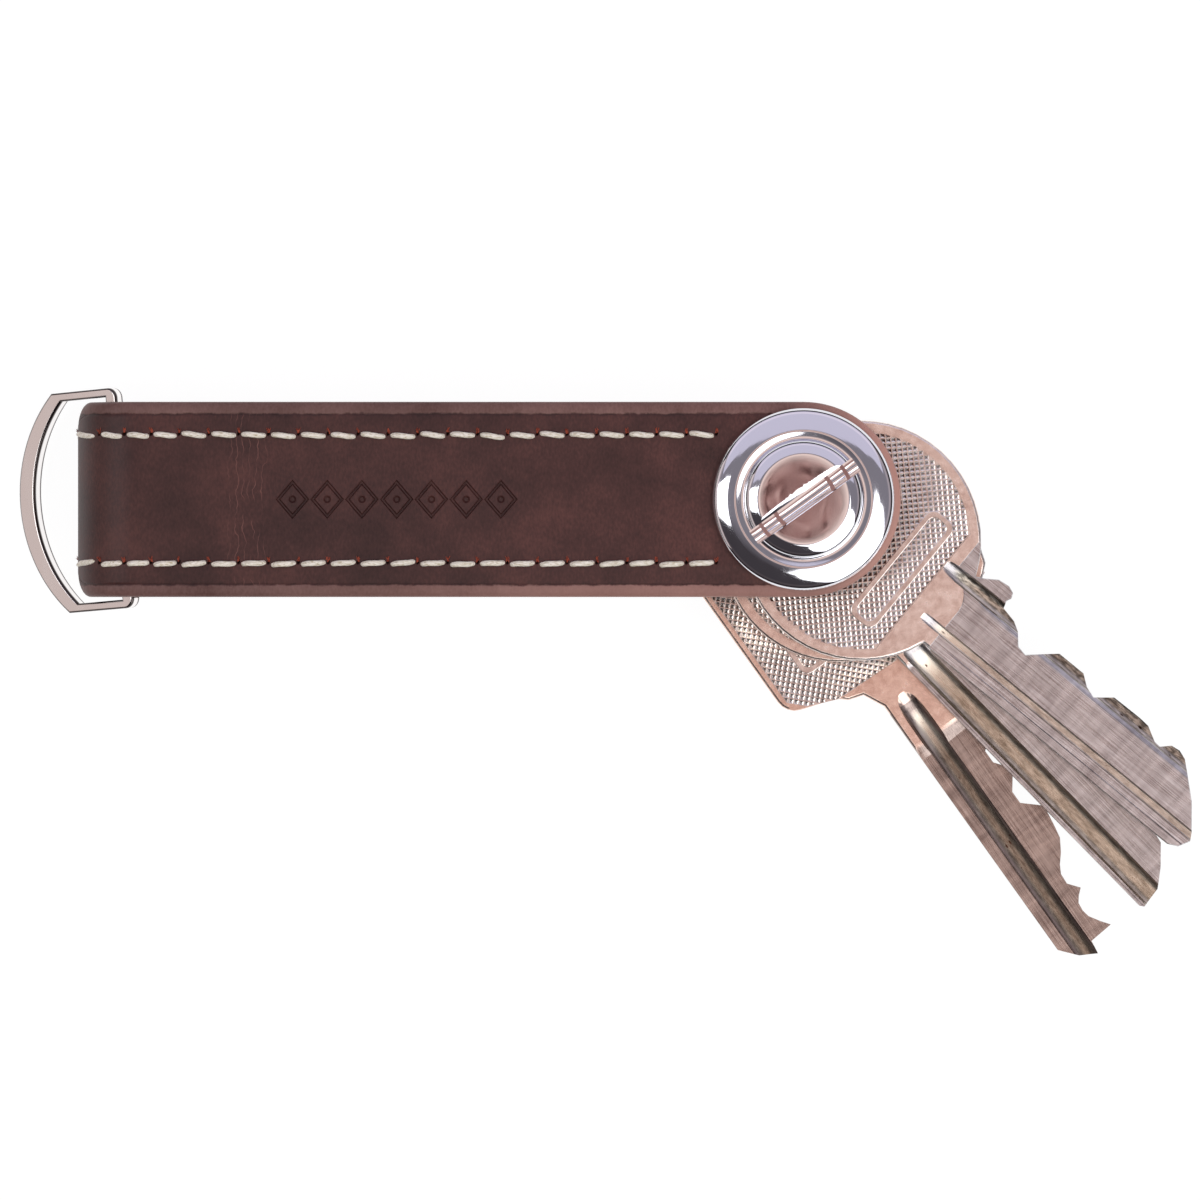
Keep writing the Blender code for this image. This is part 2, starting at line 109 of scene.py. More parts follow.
# %% Colour and node helpers
def linear(hex_colour):
    """An sRGB hex colour as linear RGBA."""
    parts = [int(hex_colour[i : i + 2], 16) / 255 for i in (1, 3, 5)]
    return (*[c / 12.92 if c <= 0.04045 else ((c + 0.055) / 1.055) ** 2.4 for c in parts], 1)


def feed(made, *values, **named):
    """Fills a node's inputs. A node stands for its first output, and a text for a hex colour."""
    sockets = [socket for socket in made.inputs if socket.enabled][: len(values)]
    sockets += [made.inputs[name.replace("_", " ")] for name in named]
    for socket, value in zip(sockets, [*values, *named.values()]):
        if isinstance(value, bpy.types.Node):
            value = next(output for output in value.outputs if output.enabled)
        if isinstance(value, bpy.types.NodeSocket):
            made.id_data.links.new(value, socket)
        else:
            socket.default_value = linear(value) if isinstance(value, str) else value


def add_node(tree, kind, *values, stops=(), **named):
    """Adds a shader node with its settings, its inputs and the stops of its colour ramp."""
    made = tree.nodes.new("ShaderNode" + kind)
    for name in [name for name in named if name.islower()]:
        setattr(made, name, named.pop(name))
    feed(made, *values, **named)
    for number, (place, colour) in enumerate(stops):
        points = made.color_ramp.elements
        point = points[number] if number < 2 else points.new(place)
        point.position = place
        point.color = linear(colour)
    return made


def per_mm(size_mm):
    """The scale that gives a texture features of about this many millimetres."""
    return 1 / (size_mm * mm)


def new_look(name, **named):
    """A material, its shader, its own function to add a node, and the position on the object."""
    look = bpy.data.materials.new(name)
    look.use_nodes = True
    shader = look.node_tree.nodes["Principled BSDF"]
    feed(shader, **named)
    node = functools.partial(add_node, look.node_tree)
    print("Material:", name)
    return look, shader, node, node("TexCoord").outputs["Object"]


# %% [markdown]
# ## Modelling helpers
# Each new piece is built as a bmesh at its real place, so its object stays at the origin. The
# helpers turn a bmesh into a named piece that rides on its body, cut shapes with a plane or with an
# exact Boolean, spin a profile, and draw a flat plate with a rounded edge.


# %% Turn a bmesh into a piece
def mesh_of(name, shape):
    """A mesh made from a bmesh, which is freed."""
    mesh = bpy.data.meshes.new(name)
    shape.to_mesh(mesh)
    shape.free()
    return mesh


def show(name, shape, body, looks, stands_for=(), sharp=35, weighted=False):
    """Makes the piece: smooth shading with sharp edges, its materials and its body."""
    if weighted:
        bmesh.ops.dissolve_limit(
            shape, angle_limit=math.radians(0.2), verts=shape.verts, edges=shape.edges,
            delimit={"MATERIAL"},
        )
    mesh = mesh_of(name, shape)
    mesh.shade_smooth()
    mesh.set_sharp_from_angle(angle=math.radians(sharp))
    for look in looks:
        mesh.materials.append(look)
    piece = put_in_scene(name, mesh)
    if weighted:
        piece.modifiers.new("Flat faces stay flat", "WEIGHTED_NORMAL").keep_sharp = True
    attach(piece, body)
    if stands_for:
        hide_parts(*stands_for)
    print(name, "has", len(mesh.polygons), "faces")


# %% Pick, cut, move and extrude parts of a bmesh
def everything(shape):
    """All of a bmesh, for the operators that take vertices, edges and faces together."""
    return [*shape.verts, *shape.edges, *shape.faces]


def only(kind, result):
    """The vertices or the faces among what an operator gives back."""
    return [item for item in result["geom"] if isinstance(item, kind)]


def face_outward(shape):
    """Turns every closed shell's faces outwards. The normals are brought up to date first."""
    shape.normal_update()
    bmesh.ops.recalc_face_normals(shape, faces=shape.faces)


def cut_off(shape, place, way, dist=merge, far=True, near=False):
    """Cuts a bmesh by a plane, and drops what lies on its far side, on its near side or on both."""
    bmesh.ops.bisect_plane(
        shape, geom=everything(shape), dist=dist, plane_co=place, plane_no=way,
        clear_outer=far, clear_inner=near,
    )


def turn_over(shape):
    """Mirrors a shape made for a plate's front, so that it serves the rear."""
    bmesh.ops.scale(shape, verts=shape.verts, vec=(1, 1, -1))
    bmesh.ops.reverse_faces(shape, faces=shape.faces)


def move(shape, x=0.0, y=0.0, z=0.0, verts=None):
    """Moves a bmesh, or only some of its vertices."""
    bmesh.ops.translate(shape, verts=verts or shape.verts, vec=(x, y, z))


def draw_out(shape, face):
    """Extrudes a face and gives the new one. The old one is dropped once walls stand behind it."""
    inner = any(len(edge.link_faces) > 1 for edge in face.edges)
    drawn = bmesh.ops.extrude_face_region(shape, geom=[face])
    if inner:
        bmesh.ops.delete(shape, geom=[face], context="FACES_ONLY")
    return only(bmesh.types.BMFace, drawn)[0]


# %% Cut one shape from another, and copy one into another
skin_and_cut = [bpy.data.materials.new(name) for name in ("skin_stand_in", "cut_stand_in")]


def carve(shape, tools):
    """What an exact Boolean leaves. Two stand-in materials keep the cut faces' material number."""
    made = []
    for name, source in (("carved", shape), ("tools", tools)):
        mesh = mesh_of(name, source)
        for stand_in in skin_and_cut:
            mesh.materials.append(stand_in)
        made.append(put_in_scene(name, mesh))
    made[0].modifiers.new("Cut", "BOOLEAN").object = made[1]
    left = bmesh.new()
    left.from_object(made[0], bpy.context.evaluated_depsgraph_get())
    for old in made:
        mesh = old.data
        bpy.data.objects.remove(old)
        bpy.data.meshes.remove(mesh)
    return left


def join(target, source, matrix):
    """Adds a copy of one bmesh to another, placed by a matrix."""
    copy = bpy.data.meshes.new("copy")
    source.to_mesh(copy)
    copy.transform(matrix)
    target.from_mesh(copy)
    bpy.data.meshes.remove(copy)


# %% Lines, turned solids and plates
def around(points):
    """Each point of a closed line with the next one."""
    return zip(points, [*points[1:], points[0]])


def arc(centre, radius, start, end, steps):
    """Points along an arc, both ends included."""
    angles = [start + (end - start) * step / steps for step in range(steps + 1)]
    return [(centre[0] + radius * math.cos(a), centre[1] + radius * math.sin(a)) for a in angles]


def circle(radius, steps, way=1):
    """Points round the origin, anticlockwise, or clockwise where the way is -1."""
    return arc((0, 0), radius, 0, way * math.tau, steps)[:-1]


def flow(points, steps=6):
    """A smooth line through points: between two of them, a cubic that follows their neighbours."""
    line = [points[0]]
    ends = [points[0], *points, points[-1]]
    for a, b, c, d in zip(ends, ends[1:], ends[2:], ends[3:]):
        for step in range(1, steps + 1):
            t = step / steps
            line.append(tuple(
                0.5 * (2 * q + (r - p) * t + (2 * p - 5 * q + 4 * r - s) * t * t
                       + (3 * q - p - 3 * r + s) * t**3)
                for p, q, r, s in zip(a, b, c, d)
            ))
    return line


def turned(profile, steps=192, closed=False):
    """A solid of revolution about Z from (radius, height) points."""
    shape = bmesh.new()
    points = [shape.verts.new((radius, 0, height)) for radius, height in profile]
    pairs = around(points) if closed else zip(points, points[1:])
    lines = [shape.edges.new(pair) for pair in pairs]
    bmesh.ops.spin(
        shape, geom=[*points, *lines], cent=(0, 0, 0), axis=(0, 0, 1),
        angle=math.tau, steps=steps, use_merge=True,
    )
    bmesh.ops.remove_doubles(shape, verts=shape.verts, dist=merge)
    face_outward(shape)
    return shape


def plate(outlines, bottom, thickness, edge=0.0, segments=2):
    """A flat plate from an outline and holes, its edges rounded by the curve's own bevel."""
    flat = bpy.data.curves.new("outline", "CURVE")
    flat.dimensions = "2D"
    flat.fill_mode = "BOTH"
    flat.extrude = thickness / 2 - edge
    flat.bevel_depth = edge
    flat.bevel_resolution = segments - 1
    flat.offset = -edge
    for outline in outlines:
        line = flat.splines.new("POLY")
        line.points.add(len(outline) - 1)
        for point, (x, y) in zip(line.points, outline):
            point.co = (x, y, 0, 1)
        line.use_cyclic_u = True
    drawing = put_in_scene("outline", flat)
    solid = drawing.evaluated_get(bpy.context.evaluated_depsgraph_get())
    shape = bmesh.new()
    shape.from_mesh(bpy.data.meshes.new_from_object(solid))
    bpy.data.objects.remove(drawing)
    bmesh.ops.remove_doubles(shape, verts=shape.verts, dist=merge)
    move(shape, z=bottom + thickness / 2)
    return shape


# %% [markdown]
# ## Measures of the strap
# The places come from the frame's own boxes. The strap is worked flat and then folded: a point is
# given as its way along the strap from the middle of the fold, across it, and its distance out from
# the middle of the pocket. Folding turns the first stretch round the fold's axis and leaves the
# rest straight, so the stitches, holes and leather all bend by one rule and stay together.

# %% Measure the strap and its fold
strap_low, strap_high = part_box("outer_strap")
lining_low, lining_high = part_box("lining_strap")
half_width = (strap_high.y - strap_low.y) / 2
fold_level = (strap_high.z + strap_low.z) / 2
fold_radius = (strap_high.z - strap_low.z) / 2
fold_x = strap_low.x + fold_radius
lining_radius = fold_x - lining_low.x
outer_leather = 1.4 * mm
lining_leather = 0.9 * mm
seam_inset = 1.2 * mm
seam_radius = fold_radius - seam_inset
quarter = seam_radius * math.pi / 2
post_along = quarter - fold_x
print("Strap:", round(2 * half_width / mm, 1), "mm wide, fold radius", round(fold_radius / mm, 2), "mm")


def fold(verts):
    """Folds vertices of the flat strap. A negative way along lies on the lower arm."""
    for vert in verts:
        along, across, out = vert.co
        angle = min(abs(along), quarter) / seam_radius
        x = fold_x - out * math.cos(angle) + max(abs(along) - quarter, 0)
        vert.co = (x, across, fold_level + math.copysign(out * math.sin(angle), along))


# %% [markdown]
# ## Leather
# The outer layer is waxed, vegetable-tanned cowhide in a dark reddish brown: a fine pebbled grain
# under 0.4 mm, faint fibres across the strap where it bends, and a soft sheen that turns lighter as
# the surface rolls away. Its cut edges are sanded, dyed and burnished, which leaves a smoother and
# lighter band 1.3 mm wide. Light is painted in on top of that: the band is painted paler at the post
# end, where the head shades it, and along the lower side towards the post, and the whole hide is
# painted lighter towards the post. The pattern reads object coordinates, so the grain is the same
# size on every part of it.

# %% Waxed cowhide
edge_band = 1.32 * mm
edge_raggedness = 0.34 * mm
crease_x = -59.2 * mm
crease_reach = 2.6 * mm
crease_spacing_mm = 0.75
wave_turns_per_unit = 20 / math.tau


def hide_tone(node, place, split):
    """The hide's colour and its patchiness: clouds, fibres across, and creases from the bend."""
    stretched = node("Mapping", place, Scale=(1, 0.5, 1))
    fibres = node("TexNoise", stretched, Scale=per_mm(0.22), Detail=4)
    clouds = node("TexNoise", place, Scale=per_mm(7), Detail=4, Roughness=0.6)
    mixed = node("Mix", 0.36, clouds, fibres)
    hide = node("ValToRGB", mixed, stops=[(0.32, "#2f1816"), (0.5, "#432623"), (0.68, "#58342f")])
    turns = per_mm(crease_spacing_mm * wave_turns_per_unit)
    waves = node("TexWave", place, Scale=turns, Distortion=9, Detail=3, Detail_Scale=0.8)
    lines = node("MapRange", waves.outputs["Fac"], 0.955, 1)
    offset = node("Math", split.outputs["X"], crease_x, operation="SUBTRACT")
    away = node("Math", offset, operation="ABSOLUTE")
    near = node("MapRange", away, crease_reach, 0.4 * crease_reach)
    patches = node("TexNoise", place, Scale=per_mm(2.2), Detail=2)
    some = node("MapRange", patches, 0.42, 0.6)
    local = node("Math", near, some, operation="MULTIPLY")
    creases = node("Math", lines, local, operation="MULTIPLY")
    share = node("Math", creases, 0.75, operation="MULTIPLY")
    creased = node("Mix", share, hide, "#84544b", data_type="RGBA")
    return creased, mixed, fibres, creases


def edge_reach(node, place, split):
    """How far a point lies from the strap's middle line, or from the post past the post."""
    past_post = node("Math", split.outputs["X"], 0, operation="MAXIMUM")
    from_middle = node("CombineXYZ", past_post, split.outputs["Y"])
    reach = node("VectorMath", from_middle, operation="LENGTH")
    ragged = node("TexNoise", place, Scale=per_mm(1.1), Detail=5, Roughness=0.65)
    return node("Math", reach, node("MapRange", ragged, 0, 1, -edge_raggedness, edge_raggedness))


def waxed_cowhide():
    """Smooth waxed leather with a burnished band along its edge."""
    look, shader, node, place = new_look("waxed_cowhide", Specular_IOR_Level=0.36)
    split = node("SeparateXYZ", place)
    along, across = split.outputs["X"], split.outputs["Y"]
    hide, mixed, fibres, creases = hide_tone(node, place, split)
    reach = edge_reach(node, place, split)
    line = half_width - edge_band
    band = node("MapRange", reach, line - 0.04 * mm, line + 0.16 * mm)
    groove = node("MapRange", reach, line - 0.22 * mm, line)
    burnished = node("ValToRGB", mixed, stops=[(0.3, "#573a35"), (0.7, "#80605a")])
    # Painted light on the burnished band: paler at the post end, where the head shades it, and a
    # painted highlight along the lower band towards the post.
    post_end_painted_light = node("MapRange", along, -2 * mm, 8 * mm, 0, 0.8)
    lower = node("MapRange", across, 0, -half_width, 0, 0.32)
    towards_post = node("MapRange", along, -60 * mm, -25 * mm)
    lower_band_painted_highlight = node("Math", lower, towards_post, operation="MULTIPLY")
    edge_painted_light = node("Math", lower_band_painted_highlight, post_end_painted_light, operation="MAXIMUM")
    burnished_tone_and_painted_light = node("Mix", edge_painted_light, burnished, "#b98c7f", data_type="RGBA")
    banded = node("Mix", band, hide, burnished_tone_and_painted_light, data_type="RGBA")
    dark_line = node("Math", groove, band, operation="SUBTRACT")
    worn = node("TexNoise", place, Scale=per_mm(1.6), Detail=4)
    worn_share = node("MapRange", worn, 0.4, 0.65, 0.1, 0.75)
    dark_share = node("Math", dark_line, worn_share, operation="MULTIPLY")
    toned = node("Mix", dark_share, banded, "#24140f", data_type="RGBA")
    # Painted light: the whole hide is painted up to 1.36 times lighter towards the post.
    painted_light_towards_post = node("MapRange", along, -45 * mm, -10 * mm, 1, 1.36)
    paler = node("VectorMath", toned, painted_light_towards_post, operation="MULTIPLY")
    rough = node("MapRange", mixed, 0, 1, 0.4, 0.56)
    pores = node("TexVoronoi", place, Scale=per_mm(0.34))
    grain = node("Mix", 0.55, pores, fibres)
    bump = node("Bump", Height=node("Math", grain, creases), Strength=0.32, Distance=0.05 * mm)
    feed(shader, Base_Color=paler, Roughness=rough, Normal=bump)
    return look


cowhide = waxed_cowhide()

# %% [markdown]
# Where the awl went through, and on the inner side of the strap, the raw fibres show. They are
# redder than the waxed grain, matt, and much rougher. In the awl slits they are painted near black,
# as painted shade inside the slits.


# %% Raw leather and lining
def raw_leather(name, dark, light, grain_mm):
    """Suede-like flesh side of leather: matt, with a short random nap."""
    look, shader, node, place = new_look(name, Roughness=0.85, Specular_IOR_Level=0.3)
    nap = node("TexNoise", place, Scale=per_mm(grain_mm), Detail=5)
    tone = node("ValToRGB", nap, stops=[(0.35, dark), (0.65, light)])
    bump = node("Bump", Height=nap, Strength=0.5, Distance=0.06 * mm)
    feed(shader, Base_Color=tone, Normal=bump)
    return look


# The slit faces are painted near black: painted shade inside the awl slits.
slit_leather_painted_dark = raw_leather("awl_cut_leather_with_painted_shade", "#1c0c0a", "#44201a", 0.2)
flesh_side = raw_leather("flesh_side_lining", "#5b3c34", "#8a6256", 0.25)

# %% [markdown]
# ## The strap
# A sheet given thickness would have square edges. Here the outer layer starts as a half disc round
# the post with its straight side drawn out to the fold, and insets build the edge from the wall up:
# a rounded shoulder, the burnished band that slopes a little, and the fine crease beside it. Cuts
# across the bend give it enough sections to fold smoothly. Folded, it is mirrored for the lower arm.

# %% Model the folded leather
bend_sections = 24
flat_overrun = 5 * mm
end_segments = 96
corner_along = 1.6 * mm
corner_across = 2.4 * mm
corner_blend = 0.6 * mm
# Steps of the outer layer's edge: how far in from the last line, and how much higher
edge_steps = in_mm([
    (0.05, 0.22), (0.1, 0.16), (0.16, 0.12), (0.25, 0.09), (0.34, 0.05), (0.36, 0.01), (0.08, -0.04),
    (0.1, 0.06), (0.2, 0.03),
])


def flat_strap(half, inner, thickness, steps):
    """Half of a layer, flat: from beyond the fold's middle to the round end at the post."""
    shape = bmesh.new()
    bmesh.ops.create_circle(shape, cap_ends=True, segments=end_segments, radius=half)
    cut_off(shape, (0, 0, 0), (-1, 0, 0))
    side = [edge for edge in shape.edges if all(abs(v.co.x) < merge for v in edge.verts)]
    ends = only(bmesh.types.BMVert, bmesh.ops.extrude_edge_only(shape, edges=side))
    move(shape, -post_along - flat_overrun, verts=ends)
    bmesh.ops.dissolve_faces(shape, faces=shape.faces)
    move(shape, post_along, z=inner)
    shape.normal_update()
    if shape.faces[:][0].normal.z > 0:
        bmesh.ops.reverse_faces(shape, faces=shape.faces)
    top = only(bmesh.types.BMFace, bmesh.ops.extrude_face_region(shape, geom=shape.faces[:]))
    wall = thickness - sum(rise for _, rise in steps)
    move(shape, z=wall, verts=top[0].verts)
    face_outward(shape)
    for step, rise in steps:
        bmesh.ops.inset_region(shape, faces=top, thickness=step, depth=0, use_even_offset=True)
        move(shape, z=rise, verts=top[0].verts)
    return shape


def folded_strap(half, outer_radius, thickness, steps):
    """A whole layer: cut across its bend, drawn in at the fold's corners, folded and mirrored."""
    shape = flat_strap(half, outer_radius - thickness, thickness, steps)
    for section in range(bend_sections + 1):
        cut_off(shape, (quarter * section / bend_sections, 0, 0), (-1, 0, 0), far=section == 0)
    kept = half_width - corner_across - corner_blend
    in_bend = [vert for vert in shape.verts if vert.co.x < quarter]
    fold(shape.verts)
    for vert in in_bend:
        into_corner = (strap_low.x + corner_along - vert.co.x) / corner_along
        if into_corner > 0 and abs(vert.co.y) > kept:
            edge = half_width - corner_across * (1 - math.sqrt(max(1 - into_corner**2, 0)))
            share = (abs(vert.co.y) - kept) / (half_width - kept)
            vert.co.y = math.copysign(kept + share * (edge - kept), vert.co.y)
    move(shape, z=-fold_level)
    bmesh.ops.mirror(shape, geom=everything(shape), axis="Z", merge_dist=merge)
    move(shape, z=fold_level)
    bmesh.ops.remove_doubles(shape, verts=shape.verts, dist=merge)
    face_outward(shape)
    return shape


outer_shape = folded_strap(half_width, fold_radius, outer_leather, edge_steps)
print("Outer leather:", len(outer_shape.faces), "faces before its holes")

# %% [markdown]
# ## Holes and ornament
# Each stitch goes through a slanted slit made by an awl, eight to the inch, and the first few after
# the bend sit closer. A bump map would leave the slits without their dark inside, so thin wedges are
# cut out of the leather, and the faces that they leave take the raw leather, painted near black as
# painted shade. The middle of the upper arm has a blind-tooled chain of plain lozenges, pressed by a
# warm brass die. A profile spun in only four steps makes a square frame, which a scale turns into a
# lozenge with sloping walls.

# %% Tools that cut the leather
stitch_pitch = 3.18 * mm
stitch_row = 6.85 * mm
stitch_count = 22
seam_leads = in_mm((0, 1.75, 1.05, 0.5, 0.28))
slit_length = 0.95 * mm
slit_width = 0.6 * mm
slit_depth = 0.4 * mm
slit_offset = 0.16 * mm
slit_turn = math.radians(18)
lozenge_count = 7
lozenge_pitch = 3.7 * mm
lozenge_centre_x = -43.3 * mm
lozenge_long = 2.05 * mm
lozenge_wide = 1.75 * mm
stroke = 0.5 * mm
stroke_depth = 0.26 * mm
dot_foot = 0.22 * mm
dot_mouth = 0.62 * mm
post_hole = 2.95 * mm
# The stroke's section: how many strokes out from the lozenge, and how many depths up
stroke_section = ((-1.5, 1), (-0.75, -1), (-0.25, -1), (0.5, 1))


def needle_hole(number):
    """How far along the strap a needle hole lies."""
    lead = seam_leads[min(abs(number), len(seam_leads) - 1)]
    return math.copysign(abs(number) * stitch_pitch + lead, number)


def needle_holes():
    """Every needle hole of both rows, on both arms."""
    numbers = range(-stitch_count, stitch_count + 1)
    return [(needle_hole(number), row) for number in numbers for row in (-stitch_row, stitch_row)]


def awl_slits():
    """A wedge at every needle hole. Its faces have the second material."""
    tools = bmesh.new()
    squeeze = Matrix.Diagonal((slit_width / slit_length, 1, 1, 1))
    for along, row in needle_holes():
        made = bmesh.ops.create_cone(
            tools, cap_ends=True, segments=10, radius1=0.1 * slit_length,
            radius2=0.5 * slit_length, depth=2 * slit_depth,
        )["verts"]
        place = Matrix.Translation((along, row + slit_offset, fold_radius))
        slant = Matrix.Rotation(-slit_turn, 4, "Z")
        bmesh.ops.transform(tools, verts=made, matrix=place @ slant @ squeeze)
        fold(made)
    face_outward(tools)
    for face in tools.faces:
        face.material_index = 1
    return tools


def lozenge_chain(tools):
    """Adds lozenge frames with a dot in each, pressed into the top of the upper arm."""
    top = strap_high.z
    section = [(1 + out * stroke / lozenge_long, top + up * stroke_depth) for out, up in stroke_section]
    stretch = Matrix.Diagonal((lozenge_wide, lozenge_long, 1, 1))
    for number in range(lozenge_count):
        middle = lozenge_centre_x + (number - (lozenge_count - 1) / 2) * lozenge_pitch
        die = turned(section, steps=4, closed=True)
        join(tools, die, Matrix.Translation((middle, 0, 0)) @ stretch)
        bmesh.ops.create_cone(
            tools, cap_ends=True, segments=16, radius1=dot_foot, radius2=dot_mouth,
            depth=2 * stroke_depth, matrix=Matrix.Translation((middle, 0, top)),
        )
    return tools


def post_bore(tools):
    """Adds the hole for the post."""
    bmesh.ops.create_cone(
        tools, cap_ends=True, segments=48, radius1=post_hole, radius2=post_hole,
        depth=strap_high.z * 2, matrix=Matrix.Translation((0, 0, fold_level)),
    )
    return tools


leather = carve(outer_shape, post_bore(lozenge_chain(awl_slits())))
show("outer_strap_leather", leather, "strap", [cowhide, slit_leather_painted_dark], ["outer_strap"])

# %% [markdown]
# The lining is the same strip, thinner and a little narrower, glued to the outer layer's flesh
# side. It only shows at the edges and inside the pocket, so it gets one rounded shoulder.

# %% Model the lining
lining_half = (lining_high.y - lining_low.y) / 2
lining_steps = in_mm([(0.08, 0.1), (0.12, 0.04)])
lining = folded_strap(lining_half, lining_radius, lining_leather, lining_steps)
lining = carve(lining, post_bore(bmesh.new()))
show("lining_leather", lining, "strap", [flesh_side], ["lining_strap"])

# %% [markdown]
# ## The stitches
# The seam is saddle-stitched with a waxed linen thread of three plies. A curve with a round bevel
# would lose the plies, so one stitch is modelled: a three-lobed section, extruded with a twist,
# thinner where it dives into the slits. Its copies fill both rows and fold with the strap, each
# with a small turn of its own, as a hand-pulled seam has.


# %% Waxed linen thread
def linen_thread():
    """Twisted waxed thread: pale, soft and slightly shiny, with dirt between the plies."""
    look, shader, node, place = new_look("waxed_linen_thread", Roughness=0.55, Specular_IOR_Level=0.4)
    strands = node("Mapping", place, Rotation=(0, 0, math.radians(20)), Scale=(0.25, 1, 1))
    fibre = node("TexNoise", strands, Scale=per_mm(0.12), Detail=3)
    tone = node("ValToRGB", fibre, stops=[(0.28, "#c4b896"), (0.55, "#fbf6e8")])
    bump = node("Bump", Height=fibre, Strength=0.4, Distance=0.03 * mm)
    feed(shader, Base_Color=tone, Normal=bump)
    return look


linen = linen_thread()

# %% Model one stitch and sew both rows
thread_radius = 0.29 * mm
inner_thread_radius = 0.15 * mm
ply_depth_share = 0.13
twist_per_pitch = math.tau * 0.45
stitch_rings = 14
stitch_slant = math.radians(5)
hand_turn = math.radians(1.2)
hand_drift = 0.05 * mm
thread_rise = 0.16 * mm
thread_sink_at_fold = 0.34 * mm
thread_dive = 0.66 * mm
stitch_span_share = 0.93


def stitch_section(way):
    """Where the section lies along the stitch, from -1 at one end to 1 at the other."""
    middle = (way / 2 * stitch_pitch * stitch_span_share, 0, -thread_dive * abs(way) ** 6)
    upright = Matrix.Rotation(math.pi / 2, 4, "Y")
    twist = Matrix.Rotation(twist_per_pitch * way / 2, 4, "Z")
    return Matrix.Translation(middle) @ upright @ twist @ Matrix.Scale(1 - 0.5 * abs(way) ** 5, 4)


def one_stitch(radius):
    """A stitch along X, its middle at the origin, one pitch long."""
    shape = bmesh.new()
    bmesh.ops.create_circle(shape, cap_ends=True, segments=12, radius=radius)
    for vert in shape.verts:
        vert.co *= 1 + ply_depth_share * math.cos(3 * math.atan2(vert.co.y, vert.co.x))
    bmesh.ops.transform(shape, verts=shape.verts, matrix=stitch_section(-1))
    cap = shape.faces[:][0]
    for step in range(stitch_rings):
        cap = draw_out(shape, cap)
        before, after = (stitch_section(2 * number / stitch_rings - 1) for number in (step, step + 1))
        bmesh.ops.transform(shape, verts=cap.verts, matrix=after @ before.inverted())
    face_outward(shape)
    return shape


def sew(row, side, radius, surface):
    """All the stitches of one thread: side 1 lies outside the strap and -1 in the pocket."""
    stitch = one_stitch(radius)
    seam = bmesh.new()
    for number in range(-stitch_count, stitch_count):
        lean = math.copysign(stitch_slant, -row) + random.gauss(0, hand_turn)
        drift = random.gauss(0, hand_drift)
        start, end = needle_hole(number), needle_hole(number + 1)
        along = (start + end) / 2
        flip = Matrix.Diagonal(((end - start) / stitch_pitch, 1, side, 1))
        into_fold = max(1 - abs(along) / quarter, 0) ** 2
        rise = (thread_rise - thread_sink_at_fold * into_fold) * radius / thread_radius
        place = Matrix.Translation((along, row + drift, surface + side * rise))
        join(seam, stitch, place @ Matrix.Rotation(lean, 4, "Z") @ flip)
    fold(seam.verts)
    face_outward(seam)
    return seam


for height, row in (("upper", stitch_row), ("lower", -stitch_row)):
    for layer, side, radius, surface in (
        ("outer", 1, thread_radius, fold_radius),
        ("inner", -1, inner_thread_radius, lining_radius - lining_leather),
    ):
        seam = sew(row, side, radius, surface)
        name, solid = f"{height}_{layer}_stitches", f"{height}_{layer}_thread"
        show(name, seam, "strap", [linen], [solid], sharp=60)

# %% [markdown]
# A few torn fibres stand at the end of each awl slit. Each is a three-sided spike, because it is
# less than two tenths of a millimetre thick and there are many.

# %% Model the torn fibres
fibre_length = 0.6 * mm
fibre_radius = 0.085 * mm
fibres_per_slit = 5
fibre_lean_degrees = (-75, -35)
fibre_swing = 0.6
fibre_spread_mm = (0.16, 0.1)
fibre_offset = 0.5 * mm
fibre_lift = 0.02 * mm


def torn_fibres():
    """Short red-brown fibres at the upper end of each slit on the outside of the strap."""
    shape = bmesh.new()
    for hole, row in needle_holes():
        for _ in range(fibres_per_slit):
            made = bmesh.ops.create_cone(
                shape, cap_ends=True, segments=3, radius1=fibre_radius,
                radius2=0.2 * fibre_radius, depth=fibre_length,
            )["verts"]
            lean = Matrix.Rotation(math.radians(random.uniform(*fibre_lean_degrees)), 4, "X")
            swing = Matrix.Rotation(random.uniform(-fibre_swing, fibre_swing), 4, "Z")
            along, across = (random.uniform(-spread, spread) * mm for spread in fibre_spread_mm)
            root = (hole + along, row + fibre_offset + across, fold_radius + fibre_lift)
            bmesh.ops.transform(shape, verts=made, matrix=Matrix.Translation(root) @ swing @ lean)
            fold(made)
    face_outward(shape)
    return shape


fibre_look = raw_leather("torn_leather_fibre", "#7a3024", "#b0563f", 0.2)
show("awl_slit_fibres", torn_fibres(), "strap", [fibre_look])

# %% [markdown]
# ## Chrome
# The binding post and the ring are brass with bright chrome plating. Chrome has almost no colour of
# its own and mirrors the studio, so its shape does the work. Only faint wiping marks break the
# mirror. A metal's colour is its reflection straight on, so the base colour is a light cool grey.


# %% Bright chrome plating
def bright_chrome(name, colour, roughness):
    """Plated, polished metal with faint wiping marks."""
    look, shader, node, place = new_look(name, Metallic=1, Base_Color=colour)
    marks = node("Mapping", place, Rotation=(0, 0, 0.6), Scale=(1, 0.15, 1))
    wipes = node("TexNoise", marks, Scale=per_mm(1.2), Detail=5)
    rough = node("MapRange", wipes, 0.35, 0.75, roughness, roughness * 2.2)
    ripple = node("TexNoise", place, Scale=per_mm(2.5), Detail=1)
    bump = node("Bump", Height=ripple, Strength=0.12, Distance=0.02 * mm)
    feed(shader, Roughness=rough, Normal=bump)
    return look, shader, node, place


screw_chrome = bright_chrome("bright_chrome_plate", "#e6e6ec", 0.05)[0]

# %% [markdown]
# ## The coin screw
# The head is one turned profile: a boss with a sloping shoulder, a cove, and a rounded rim. The
# reflections bend with every part of the curve, so the line runs smoothly through its points and is
# spun in many steps. The slot is cut with a bar whose upper edges flare, which leaves the thin
# bright chamfers that a deburred slot has, and two round sinks in its floor show the post's end.

